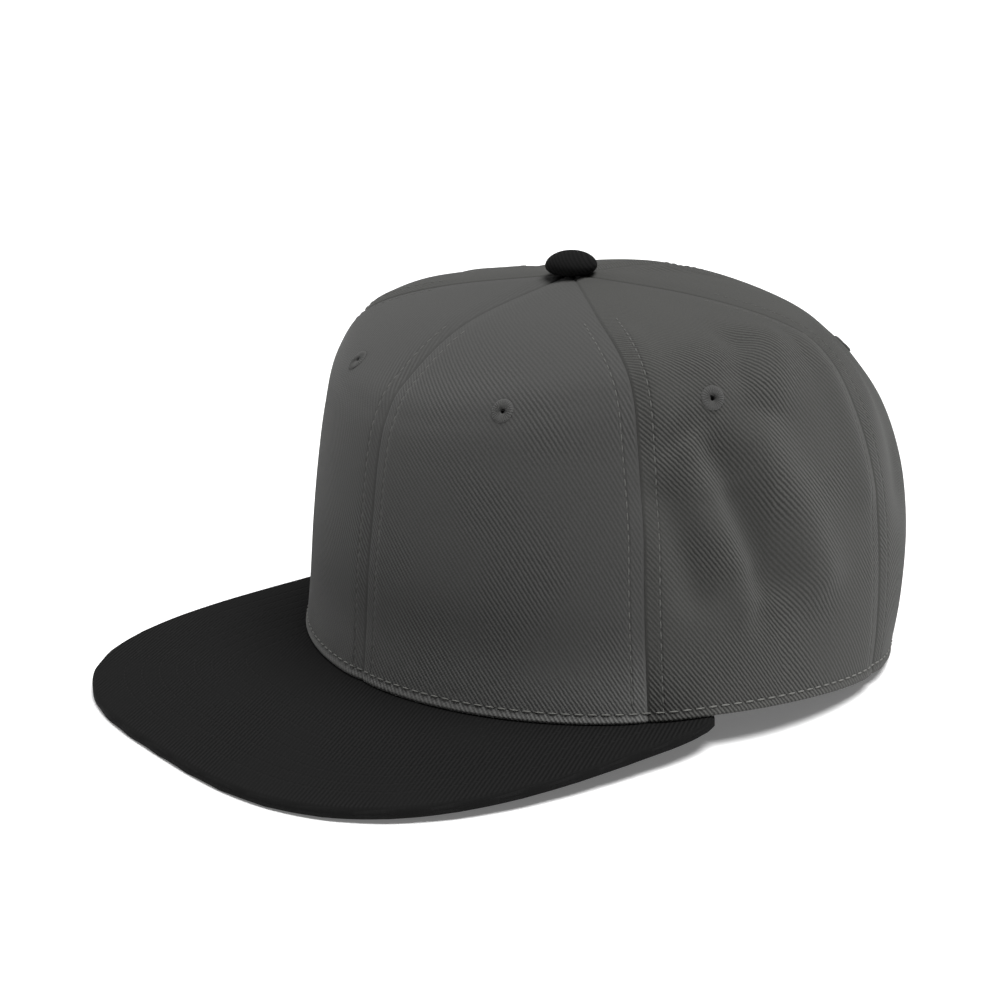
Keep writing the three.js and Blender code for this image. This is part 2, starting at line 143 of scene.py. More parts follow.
EYELETS = (
    Place("eyelet_front_left", 32.2, 0.663),
    Place("eyelet_front_right", -24.6, 0.73),
    Place("eyelet_side_left", 77.9, 0.593),
    Place("eyelet_side_right", -77.9, 0.593),
    Place("eyelet_back_left", 148.0, 0.62),
    Place("eyelet_back_right", -148.0, 0.62),
)


@dataclass(frozen=True)
class CapForm:
    """Sizes of the cap in millimetres and degrees, and the surfaces that follow from them."""

    front_reach: float = 79.0
    side_reach: float = 94.5
    back_reach: float = 98.5
    crown_top: float = 118.0
    front_hem: float = 6.8
    front_seam: float = 60.5
    side_seam: float = 117.5
    top_share: float = 0.99
    wall: float = 1.8
    clearance: float = 0.3
    seam_depth: float = 0.55
    seam_spread: float = 4.0
    fold_depth: float = 4.0
    fold_spread: float = 10.0
    hem_band: float = 0.08
    cloth_reach: float = 85.0
    panel_length: float = 175.0
    calm_spread: float = 10.0
    other_side_lift: float = 0.03
    other_side_depth: float = 0.35
    brim_centre_y: float = -45.0
    brim_front: float = 100.5
    brim_back: float = 46.0
    brim_half_width: float = 94.5
    brim_power: float = 3.0
    brim_thick: float = 3.4
    brim_round: float = 1.2
    brim_corner_y: float = -22.0
    arch_half_width: float = 45.0
    arch_height: float = 52.0
    arch_search: float = 0.6
    turn_probe: float = 0.4
    share_probe: float = 0.004

    @property
    def tip_y(self) -> float:
        """Where the peak ends."""
        return self.brim_centre_y - self.brim_front

    @property
    def brim_slope(self) -> float:
        """Rise of the peak for each millimetre toward the back."""
        run = -self.front_reach - self.tip_y
        return (self.front_hem - self.clearance - self.brim_thick) / run

    @property
    def seam_turns(self) -> tuple[float, ...]:
        """The six seams between the panels."""
        return (0.0, self.front_seam, self.side_seam, 180.0, -self.side_seam, -self.front_seam)

    def brim_top(self, y: np.ndarray) -> np.ndarray:
        """Height of the peak's upper face.

        Args:
            y: Places along the cap.

        Returns:
            Heights over the surface that the cap stands on.
        """
        return self.brim_thick + self.brim_slope * (y - self.tip_y)

    def hem_height(self, y: np.ndarray) -> np.ndarray:
        """Height of the crown's lower edge: on the peak in front, easing down to the ground at the back.

        Args:
            y: Places along the cap.

        Returns:
            Heights of the hem.
        """
        on_brim = self.brim_top(np.minimum(y, self.brim_corner_y)) + self.clearance
        return on_brim * (1.0 - smoothstep(y, self.brim_corner_y, self.back_reach))

    def plain(self, turn: np.ndarray, share: np.ndarray) -> np.ndarray:
        """The crown's outer surface without seams and folds.

        Args:
            turn: Turns in degrees.
            share: Shares of the way up.

        Returns:
            Points, one row each.
        """
        angle = np.radians(turn)
        forward = np.cos(angle) > 0
        front_out, front_up = profile_curve(Side.FRONT, share)
        across_out, across_up = profile_curve(Side.ACROSS, share)
        back_out, back_up = profile_curve(Side.BACK, share)
        reach = np.where(forward, self.front_reach, self.back_reach)
        facing = np.cos(angle) ** 2
        along_out = np.where(forward, front_out, back_out)
        up = np.where(forward, front_up, back_up) * facing + across_up * (1.0 - facing)
        hem = self.hem_height(-reach * np.cos(angle))
        x = self.side_reach * across_out * np.sin(angle)
        y = -reach * along_out * np.cos(angle)
        return np.stack([x, y, hem + (self.crown_top - hem) * up], axis=-1)

    def cloth_place(self, turn: np.ndarray, share: np.ndarray) -> np.ndarray:
        """A place on the crown measured along the cloth.

        Args:
            turn: Turns in degrees.
            share: Shares of the way up.

        Returns:
            Millimetres round and up, one row each.
        """
        round_mm = np.radians(turn) * self.cloth_reach
        return np.stack(np.broadcast_arrays(round_mm, share * self.panel_length), axis=-1)

    def seam_distance(self, turn: np.ndarray, share: np.ndarray) -> np.ndarray:
        """Distance to the nearest seam.

        Args:
            turn: Turns in degrees.
            share: Shares of the way up.

        Returns:
            Millimetres along the cloth.
        """
        reach = np.maximum(self.side_reach * profile_curve(Side.ACROSS, share)[0], self.seam_spread)
        nearest = np.full(np.broadcast(turn, share).shape, FULL_TURN)
        for seam in self.seam_turns:
            nearest = np.minimum(nearest, np.abs(wrap_turn(turn - seam)))
        return np.radians(nearest) * reach

    def fold_relief(self, turn: np.ndarray, share: np.ndarray) -> np.ndarray:
        """Height of the folds; the cloth of the other side falls alike, a little higher and flatter.

        Args:
            turn: Turns in degrees.
            share: Shares of the way up.

        Returns:
            Millimetres outward.
        """
        side = wrap_turn(turn)
        other = side < 0
        here = self.cloth_place(np.abs(side), share - np.where(other, self.other_side_lift, 0.0))
        low = np.zeros(here.shape[:-1])
        high = np.zeros(here.shape[:-1])
        for fold in FOLDS:
            start = self.cloth_place(fold.turn, fold.share)
            run = self.cloth_place(fold.to_turn, fold.to_share) - start
            along = np.clip(((here - start) @ run) / (run @ run), 0.0, 1.0)
            distance = np.linalg.norm(here - start - along[..., None] * run, axis=-1)
            spread = fold.spread * self.fold_spread
            lift = fold.depth * self.fold_depth * np.exp(-((distance / spread) ** 2))
            low = np.minimum(low, lift)
            high = np.maximum(high, lift)
        return (low + high) * np.where(other, self.other_side_depth, 1.0)

    def calm(self, turn: np.ndarray, share: np.ndarray) -> np.ndarray:
        """How far the folds show: the stitching of an eyelet keeps its cloth flat.

        Args:
            turn: Turns in degrees.
            share: Shares of the way up.

        Returns:
            Factors from 0 at an eyelet to 1.
        """
        here = self.cloth_place(wrap_turn(turn), share)
        factor = np.ones(here.shape[:-1])
        for eyelet in EYELETS:
            distance = np.linalg.norm(here - self.cloth_place(eyelet.turn, eyelet.share), axis=-1)
            factor *= 1.0 - np.exp(-((distance / self.calm_spread) ** 2))
        return factor

    def skin(self, turn: np.ndarray, share: np.ndarray) -> np.ndarray:
        """The crown's outer surface with its seams and folds.

        Args:
            turn: Turns in degrees.
            share: Shares of the way up.

        Returns:
            Points, one row each.
        """
        turn = np.asarray(turn, float)
        share = np.asarray(share, float)
        distance = self.seam_distance(turn, share)
        seam = -self.seam_depth * np.exp(-((distance / self.seam_spread) ** 2))
        relief = seam + self.fold_relief(turn, share) * self.calm(turn, share)
        return self.plain(turn, share) + relief[..., None] * self.normal(self.plain, turn, share)

    def normal(self, surface: Callable, turn: np.ndarray, share: np.ndarray) -> np.ndarray:
        """Outward normal of a surface of the crown.

        Args:
            surface: The surface as a function of turns and shares.
            turn: Turns in degrees.
            share: Shares of the way up.

        Returns:
            Unit vectors, one row each.
        """
        turn = np.asarray(turn, float)
        share = np.asarray(share, float)
        high = np.minimum(share + self.share_probe, self.top_share)
        low = np.maximum(share - self.share_probe, 0.0)
        across = surface(turn + self.turn_probe, share) - surface(turn - self.turn_probe, share)
        vector = np.cross(across, surface(turn, high) - surface(turn, low))
        return vector / np.linalg.norm(vector, axis=-1, keepdims=True)

    def under(self, surface: Callable, turn: np.ndarray, share: np.ndarray, depth: np.ndarray) -> np.ndarray:
        """Points at a depth under a surface; at the hem the depth is measured level.

        Args:
            surface: The surface as a function of turns and shares.
            turn: Turns in degrees.
            share: Shares of the way up.
            depth: Millimetres inward.

        Returns:
            Points, one row each.
        """
        normal = self.normal(surface, turn, share)
        normal[..., 2] *= smoothstep(np.asarray(share, float), 0.0, self.hem_band)
        normal /= np.linalg.norm(normal, axis=-1, keepdims=True)
        return surface(turn, share) - np.asarray(depth)[..., None] * normal

    def arch_share(self, turn: np.ndarray) -> np.ndarray:
        """Share where a back panel begins: at the hem, or on the arch of the back opening.

        Args:
            turn: Turns in degrees.

        Returns:
            Shares of the way up.
        """
        turn = np.asarray(turn, float)
        low = np.zeros(turn.shape)
        high = np.full(turn.shape, self.arch_search)
        for _ in range(30):
            middle = (low + high) / 2
            point = self.plain(turn, middle)
            inside = (point[..., 0] / self.arch_half_width) ** 2 + (point[..., 2] / self.arch_height) ** 2 < 1
            inside &= point[..., 1] > 0
            low = np.where(inside, middle, low)
            high = np.where(inside, high, middle)
        return np.where(low > 1e-4, low, 0.0)

    def length_up(self, turn: float, share: np.ndarray) -> np.ndarray:
        """True length of the cloth from the hem up, along one turn.

        Args:
            turn: The turn in degrees.
            share: Shares of the way up.

        Returns:
            Millimetres.
        """
        steps = np.linspace(0.0, 1.0, 200)
        line = self.plain(np.full(steps.shape, turn), steps)
        run = np.concatenate([[0.0], np.cumsum(np.linalg.norm(np.diff(line, axis=0), axis=1))])
        return np.interp(share, steps, run)

    def brim_outline(self, angle: np.ndarray) -> np.ndarray:
        """The peak's outline.

        Args:
            angle: Radians round the peak's centre, from the tip toward the wearer's left.

        Returns:
            Points x, y, one row each.
        """
        across = np.sin(angle)
        along = -np.cos(angle)
        reach = np.where(along < 0, self.brim_front, self.brim_back)
        total = np.abs(across / self.brim_half_width) ** self.brim_power
        total = total + np.abs(along / reach) ** self.brim_power
        radius = total ** (-1.0 / self.brim_power)
        return np.stack([radius * across, self.brim_centre_y + radius * along], axis=-1)


FORM = CapForm()


def smoothstep(value: np.ndarray, low: float, high: float) -> np.ndarray:
    """Smooth step from 0 at low to 1 at high.

    Args:
        value: Values to test.
        low: Where the step starts.
        high: Where it ends.

    Returns:
        Values from 0 to 1.
    """
    t = np.clip((value - low) / (high - low), 0.0, 1.0)
    return t * t * (3.0 - 2.0 * t)


def wrap_turn(turn: np.ndarray) -> np.ndarray:
    """Brings turns into the half circle on each side of the front.

    Args:
        turn: Turns in degrees.

    Returns:
        The same turns from -180 to 180.
    """
    return turn - FULL_TURN * np.round(np.asarray(turn, float) / FULL_TURN)


def profile_curve(side: Side, share: np.ndarray) -> tuple[np.ndarray, np.ndarray]:
    """Reads a profile between its rows on a smooth curve through them.

    Args:
        side: Which profile.
        share: Shares of the way up.

    Returns:
        Shares of the reach and of the height.
    """
    columns = {Side.FRONT: (0, 1), Side.ACROSS: (2, 3), Side.BACK: (4, 5)}[side]
    rows = np.array(PROFILE)[:, columns]
    rows = np.vstack([2 * rows[0] - rows[1], rows, 2 * rows[-1] - rows[-2]])
    steps = len(PROFILE) - 1
    place = np.clip(np.asarray(share, float), 0.0, 1.0) * steps
    first = np.minimum(place.astype(int), steps - 1)
    t = (place - first)[..., None]
    before, start, end, after = (rows[first + k] for k in range(4))
    leave = (end - before) / 2
    arrive = (after - start) / 2
    curve = (2 * start - 2 * end + leave + arrive) * t**3
    curve = curve + (-3 * start + 3 * end - 2 * leave - arrive) * t**2 + leave * t + start
    return curve[..., 0], curve[..., 1]


# Colours and materials


def srgb(code: str) -> tuple[float, float, float, float]:
    """Turns an sRGB hex colour into linear light.

    Args:
        code: Six hex digits.

    Returns:
        Linear red, green, blue and alpha 1.
    """
    parts = [int(code[i : i + 2], 16) / 255 for i in (0, 2, 4)]
    linear = [c / 12.92 if c <= 0.04045 else ((c + 0.055) / 1.055) ** 2.4 for c in parts]
    return (linear[0], linear[1], linear[2], 1.0)


@dataclass(frozen=True)
class TwillFinish:
    """A dyed cotton twill; lengths in millimetres, heights and tones as shares of a rib's. Its valley colour
    is painted shade between the ribs, and its low and hem-band tones are painted light.
    """

    name: str
    rib_colour: str
    valley_shade_colour: str
    rib_pitch: float = 1.1
    rib_depth: float = 0.1
    rib_waver: float = 1.3
    yarn_pitch: float = 0.66
    yarn_waver: float = 2.5
    yarn_height: float = 0.3
    fuzz_height: float = 0.4
    fuzz_tone: float = 0.3
    edge_fade: float = 1.2
    patch_size: float = 30.0
    hem_row: float = 4.2
    smooth_from: float = 115.0
    smooth_to: float = 158.0
    roughness: float = 0.95
    sheen: float = 0.06
    specular: float = 0.12
    painted_light_height: float = 38.0
    painted_light_low_tone: float = 1.0
    painted_hem_light_tone: float = 1.15


@dataclass(frozen=True)
class PlainFinish:
    """A finish of one colour with a fine grain; lengths in millimetres."""

    name: str
    colour: str
    grain: float
    grain_depth: float
    roughness: float
    sheen: float = 0.0
    specular: float = 0.5


# Dyed cotton twill, fused to a stiffener in front: matt, with fine slanting ribs. Its lower cloth is painted
# up to twice as light, and the band below the hem row lighter again: painted light over the dark peak.
STIFF_TWILL = TwillFinish(
    "dyed_cotton_twill_grey_fused", "515150", "393938", painted_light_low_tone=2.0, painted_hem_light_tone=1.25
)
# The same twill without a stiffener: its ribs stand out more where it folds, with deeper bumps and darker
# painted shade in the valleys between them.
SOFT_TWILL = TwillFinish("dyed_cotton_twill_grey_soft", "535351", "323231", rib_depth=0.18)
# Black dyed twill of the peak and the button: it gives back almost no light, and its ribs barely show.
BLACK_TWILL = TwillFinish(
    "dyed_cotton_twill_black", "1e1e1e", "111111", rib_pitch=1.2, sheen=0.0, specular=0.06
)
# Spun polyester thread, twisted and dyed: short matt dashes, a little paler than the cloth.
GREY_THREAD = PlainFinish("spun_polyester_thread_grey", "575755", 0.25, 0.05, 0.9, 0.06, 0.15)
# The same thread above the hem, painted paler: painted light, matching the cloth's painted light there.
PAINTED_LIGHT_HEM_THREAD = PlainFinish("spun_polyester_thread_pale_grey", "6b6b68", 0.25, 0.05, 0.9, 0.06, 0.15)
# Rayon embroidery thread, packed round the eyelets: a soft ring, slightly darker than the cloth.
RING_THREAD = PlainFinish("rayon_embroidery_thread_grey", "494948", 0.25, 0.05, 0.85, 0.05, 0.2)
# Black spun polyester thread: rows that show only as a faint change of grain.
BLACK_THREAD = PlainFinish("spun_polyester_thread_black", "1e1e1e", 0.25, 0.05, 0.9, 0.0, 0.08)
# Woven cotton band: dull and black.
BLACK_COTTON = PlainFinish("woven_cotton_band_black", "191919", 0.5, 0.12, 0.95, 0.05)
# Injection moulded plastic: smooth and black, with broad soft highlights.
BLACK_PLASTIC = PlainFinish("injection_moulded_plastic_black", "121212", 0.3, 0.01, 0.42)
# Matt white board that glows faintly, so that the shadow on it stays pale.
PALE_FLOOR = PlainFinish("matt_painted_board_white", "fafafa", 2.0, 0.0, 0.8)


class NodeMaterial:
    """A material's node tree, filled node by node."""

    def __init__(self, name: str) -> None:
        """Starts an empty tree with its shader and output.

        Args:
            name: Name of the material.
        """
        self.material = bpy.data.materials.new(name)
        self.material.use_nodes = True
        self.tree = self.material.node_tree
        self.tree.nodes.clear()
        self.shader = self.add("ShaderNodeBsdfPrincipled", {})
        output = self.add("ShaderNodeOutputMaterial", {})
        self.tree.links.new(self.shader.outputs["BSDF"], output.inputs["Surface"])

    def add(self, kind: str, inputs: dict, **settings) -> bpy.types.Node:
        """Adds one node.

        Args:
            kind: Type of the node.
            inputs: Values or sockets for its inputs, by name or index.
            settings: Properties of the node.

        Returns:
            The node.
        """
        node = self.tree.nodes.new(kind)
        for key, value in settings.items():
            setattr(node, key, value)
        for key, value in inputs.items():
            if isinstance(value, bpy.types.NodeSocket):
                self.tree.links.new(value, node.inputs[key])
            else:
                node.inputs[key].default_value = value
        return node

    def math(self, operation: str, first, second=0.0) -> bpy.types.NodeSocket:
        """Adds a Math node.

        Args:
            operation: What it does.
            first: Value or socket.
            second: Value or socket.

        Returns:
            Its output.
        """
        return self.add("ShaderNodeMath", {0: first, 1: second}, operation=operation).outputs[0]

    def ramp(self, value, low: float, high: float, start: float, end: float) -> bpy.types.NodeSocket:
        """Adds a smooth change between two values.

        Args:
            value: Socket that drives it.
            low: Where the change starts.
            high: Where it ends.
            start: Result up to low.
            end: Result from high.

        Returns:
            Its output.
        """
        inputs = {"Value": value, "From Min": low, "From Max": high, "To Min": start, "To Max": end}
        node = self.add("ShaderNodeMapRange", inputs, interpolation_type="SMOOTHSTEP", clamp=True)
        return node.outputs[0]

    def stitched_line(self, distance: bpy.types.NodeSocket, row: float) -> bpy.types.NodeSocket:
        """Adds the height of cloth that a row of stitches pulls down.

        Args:
            distance: Socket of the distance from an edge in millimetres.
            row: Distance of the row.

        Returns:
            Socket that is 0 on the row and 1 beside it.
        """
        away = self.math("ABSOLUTE", self.math("SUBTRACT", distance, row))
        return self.ramp(away, 0.0, 0.9, 0.0, 1.0)

    def mix(self, factor, low, high) -> bpy.types.NodeSocket:
        """Adds a colour mix.

        Args:
            factor: Value or socket.
            low: Colour or socket at 0.
            high: Colour or socket at 1.

        Returns:
            Its colour output.
        """
        node = self.add("ShaderNodeMix", {0: factor, 6: low, 7: high}, data_type="RGBA")
        return node.outputs[2]

    def surface(self, colour, roughness: float, sheen: float, specular: float, normal) -> None:
        """Sets the shader.

        Args:
            colour: Colour or socket.
            roughness: Roughness of the surface.
            sheen: Weight of the fuzz.
            specular: Specular level.
            normal: Socket of the bump.
        """
        values = {"Roughness": roughness, "Sheen Weight": sheen, "Sheen Roughness": 0.5}
        values["Specular IOR Level"] = specular
        for key, value in values.items():
            self.shader.inputs[key].default_value = value
        if isinstance(colour, bpy.types.NodeSocket):
            self.tree.links.new(colour, self.shader.inputs["Base Color"])
        else:
            self.shader.inputs["Base Color"].default_value = colour
        if normal is not None:
            self.tree.links.new(normal, self.shader.inputs["Normal"])


def wave_scale(pitch: float) -> float:
    """Scale of a Wave texture whose bands are a pitch apart.

    Args:
        pitch: Distance of the bands in units of the coordinate.

    Returns:
        The texture's scale.
    """
    return math.pi / 10 / pitch


def twill_material(finish: TwillFinish, groove: float, rows: Sequence[float]) -> bpy.types.Material:
    """Twill: raised slanting ribs of twisted yarn, with sunk lines where it is stitched.

    The ribs give the cloth its fine slanting light and dark lines, the yarn breaks them up, and the broad
    noise is the uneven take-up of the dye. The valleys between the ribs take a darker colour as painted
    shade, and the cloth is painted lighter low down and below the hem row as painted light. The weave map
    holds millimetres across and along the ribs, and the rows map the distance from the edge and from the hem.

    Args:
        finish: Colours and sizes of the cloth.
        groove: Depth of the stitched lines in millimetres.
        rows: Distances of the stitched lines from the edge, in millimetres.

    Returns:
        The material.
    """
    made = NodeMaterial(finish.name)
    weave = made.add("ShaderNodeUVMap", {}, uv_map="weave").outputs[0]
    place = made.add("ShaderNodeTexCoord", {}).outputs["Object"]
    rows_map = made.add("ShaderNodeUVMap", {}, uv_map="rows").outputs[0]
    split = made.add("ShaderNodeSeparateXYZ", {0: rows_map})
    rib_inputs = {"Vector": weave, "Scale": wave_scale(finish.rib_pitch), "Distortion": finish.rib_waver}
    rib_inputs.update({"Detail": 2.0, "Detail Scale": 2.6, "Detail Roughness": 0.6})
    rib = made.add("ShaderNodeTexWave", rib_inputs, bands_direction="X").outputs["Fac"]
    yarn_inputs = {"Vector": weave, "Scale": wave_scale(finish.yarn_pitch), "Distortion": finish.yarn_waver}
    yarn_inputs.update({"Detail": 1.0, "Detail Scale": 3.0})
    yarn = made.add("ShaderNodeTexWave", yarn_inputs, bands_direction="Y").outputs["Fac"]
    fuzz = made.add("ShaderNodeTexNoise", {"Vector": weave, "Scale": 1.6, "Detail": 3.0}).outputs["Fac"]
    patch_inputs = {"Vector": place, "Scale": 1.0 / (finish.patch_size * MM), "Detail": 1.0}
    patch = made.add("ShaderNodeTexNoise", patch_inputs).outputs["Fac"]
    clear = made.ramp(patch, 0.36, 0.62, 0.35, 1.0)
    upward = made.ramp(split.outputs[1], finish.smooth_from, finish.smooth_to, 1.0, 0.2)
    clear = made.math("MULTIPLY", clear, upward)
    clear = made.math("MULTIPLY", clear, made.ramp(split.outputs[0], 0.2, finish.edge_fade, 0.0, 1.0))
    height = made.math("ADD", rib, made.math("MULTIPLY", yarn, finish.yarn_height))
    height = made.math("MULTIPLY", height, clear)
    height = made.math("ADD", height, made.math("MULTIPLY", fuzz, finish.fuzz_height))
    sunk = made.ramp(split.outputs[1], finish.hem_row - 0.3, finish.hem_row + 0.3, 0.6, 1.0)
    flat = made.ramp(split.outputs[1], finish.smooth_from, finish.smooth_to, 0.0, 1.0)
    for row in rows:
        line = made.math("MAXIMUM", made.stitched_line(split.outputs[0], row), flat)
        sunk = made.math("MINIMUM", sunk, line)
    fine = {"Height": height, "Strength": 1.0, "Distance": finish.rib_depth * MM}
    fine_normal = made.add("ShaderNodeBump", fine).outputs[0]
    broad = {"Height": sunk, "Strength": 1.0, "Distance": groove * MM, "Normal": fine_normal}
    bump = made.add("ShaderNodeBump", broad).outputs[0]
    shown = made.math("ADD", made.math("MULTIPLY", made.math("SUBTRACT", rib, 0.5), clear), 0.5)
    # Painted shade: the valleys between the ribs take the darker colour.
    cloth = made.mix(shown, srgb(finish.valley_shade_colour), srgb(finish.rib_colour))
    tone = made.math("MULTIPLY", fuzz, finish.fuzz_tone)
    tone = made.math("ADD", tone, 1.0 - finish.fuzz_tone / 2)
    # Painted light: the cloth is made lighter toward the hem, and lighter again in the band below the hem
    # row.
    painted_low_light = made.ramp(split.outputs[1], 0.0, finish.painted_light_height, finish.painted_light_low_tone, 1.0)
    band = made.ramp(split.outputs[1], finish.hem_row - 0.6, finish.hem_row, finish.painted_hem_light_tone, 1.0)
    tone = made.math("MULTIPLY", tone, made.math("MULTIPLY", painted_low_light, band))
    shade = made.add("ShaderNodeVectorMath", {0: cloth, "Scale": tone}, operation="SCALE").outputs[0]
    made.surface(shade, finish.roughness, finish.sheen, finish.specular, bump)
    return made.material


def plain_material(finish: PlainFinish) -> bpy.types.Material:
    """A plain finish whose grain takes the hardness off its light.

    Args:
        finish: Colour and sizes.

    Returns:
        The material.
    """
    made = NodeMaterial(finish.name)
    place = made.add("ShaderNodeTexCoord", {}).outputs["Object"]
    scale = 1.0 / (finish.grain * MM)
    grain = made.add("ShaderNodeTexNoise", {"Vector": place, "Scale": scale, "Detail": 2.0}).outputs["Fac"]
    low = srgb(finish.colour)
    high = tuple(min(1.0, c * 1.15) for c in low[:3]) + (1.0,)
    normal = None
    if finish.grain_depth > 0:
        bump = {"Height": grain, "Strength": 1.0, "Distance": finish.grain_depth * MM}
        normal = made.add("ShaderNodeBump", bump).outputs[0]
    made.surface(made.mix(grain, low, high), finish.roughness, finish.sheen, finish.specular, normal)
    return made.material


# Meshes


class Workshop:
    """Turns meshes in millimetres from the button's axis into finished pieces of the frame."""

    def __init__(self, form: CapForm) -> None:
        """Reads from the frame where the button's axis stands.

        Args:
            form: Sizes of the cap.
        """
        low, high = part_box("button")
        self.form = form
        self.offset = Vector(((low[0] + high[0]) / 2, (low[1] + high[1]) / 2, 0.0)) / MM
        # The rounded edge lifts the peak's lowest place this far off the ground, so the cap sinks by as much.
        self.offset.z = -form.brim_slope * form.brim_round

    def finish(
        self, bm: bmesh.types.BMesh, name: str, slot: str, material: bpy.types.Material, replaces: str = ""
    ) -> bpy.types.Object:
        """Makes an object of a mesh and fits it into the frame.

        Args:
            bm: The mesh, freed here.
            name: Name of the piece.
            slot: The record's material slot; not used.
            material: Its material.
            replaces: The solid that the piece stands for.

        Returns:
            The object.
        """
        bmesh.ops.translate(bm, vec=self.offset, verts=bm.verts)
        bmesh.ops.scale(bm, vec=(MM, MM, MM), verts=bm.verts)
        mesh = bpy.data.meshes.new(name)
        bm.to_mesh(mesh)
        bm.free()
        mesh.materials.append(material)
        for polygon in mesh.polygons:
            polygon.use_smooth = True
        piece = bpy.data.objects.new(name, mesh)
        bpy.context.scene.collection.objects.link(piece)
        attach(piece, "root")
        if replaces:
            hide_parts(replaces)
        log.info("%s: %d vertices", name, len(mesh.vertices))
        return piece


def grid(columns: int, rows: int) -> tuple[bmesh.types.BMesh, np.ndarray, np.ndarray]:
    """A flat grid with its vertices' places from 0 to 1.

    Args:
        columns: Faces across.
        rows: Faces up.

    Returns:
        The mesh and the places across and up.
    """
    bm = bmesh.new()
    bmesh.ops.create_grid(bm, x_segments=columns, y_segments=rows, size=0.5)
    bm.verts.ensure_lookup_table()
    across = np.array([v.co.x for v in bm.verts]) + 0.5
    up = np.array([v.co.y for v in bm.verts]) + 0.5
    return bm, across, up


def place_vertices(bm: bmesh.types.BMesh, points: np.ndarray) -> None:
    """Moves the vertices of a mesh.

    Args:
        bm: The mesh.
        points: New places, one row each.
    """
    for vertex, point in zip(bm.verts, points):
        vertex.co = point


def thicken(bm: bmesh.types.BMesh, inner: np.ndarray) -> None:
    """Closes an open sheet into a solid with an inner face.

    Args:
        bm: The sheet, its faces turned outward.
        inner: Places of the inner face, one row for each vertex.
    """
    goal = bm.verts.layers.float_vector.new("inner")
    for vertex, point in zip(bm.verts, inner):
        vertex[goal] = Vector(point)
    made = bmesh.ops.extrude_face_region(bm, geom=bm.faces[:], use_keep_orig=True)
    for item in made["geom"]:
        if isinstance(item, bmesh.types.BMVert):
            item.co = item[goal]
    bm.verts.layers.float_vector.remove(goal)
    bmesh.ops.recalc_face_normals(bm, faces=bm.faces)


def spin_round(bm: bmesh.types.BMesh, section: list, steps: int) -> None:
    """Spins a section once round the upright axis.

    Args:
        bm: The mesh that holds it.
        section: Its vertices and edges.
        steps: Faces round.
    """
    centre, axis = (0, 0, 0), (0, 0, 1)
    bmesh.ops.spin(
        bm, geom=section, cent=centre, axis=axis, angle=2 * math.pi, steps=steps, use_merge=True
    )


def write_map(bm: bmesh.types.BMesh, name: str, places: np.ndarray) -> None:
    """Writes a map of a value pair for each vertex.

    Args:
        bm: The mesh.
        name: Name of the map.
        places: Pairs, one row for each vertex.
    """
    layer = bm.loops.layers.uv.new(name)
    bm.verts.index_update()
    for face in bm.faces:
        for loop in face.loops:
            loop[layer].uv = places[loop.vert.index]


def eased(share: np.ndarray, amount: float) -> np.ndarray:
    """Spaces steps closer together at both ends.

    Args:
        share: Even steps from 0 to 1.
        amount: From 0, even, to 1.

    Returns:
        Uneven steps from 0 to 1.
    """
    return share - amount / (2 * math.pi) * np.sin(2 * math.pi * share)


class PanelSpec(NamedTuple):
    """A crown panel: the solid it stands for, its two seams and the slant of its ribs in degrees."""

    node: str
    turn: float
    to_turn: float
    rib_angle: float


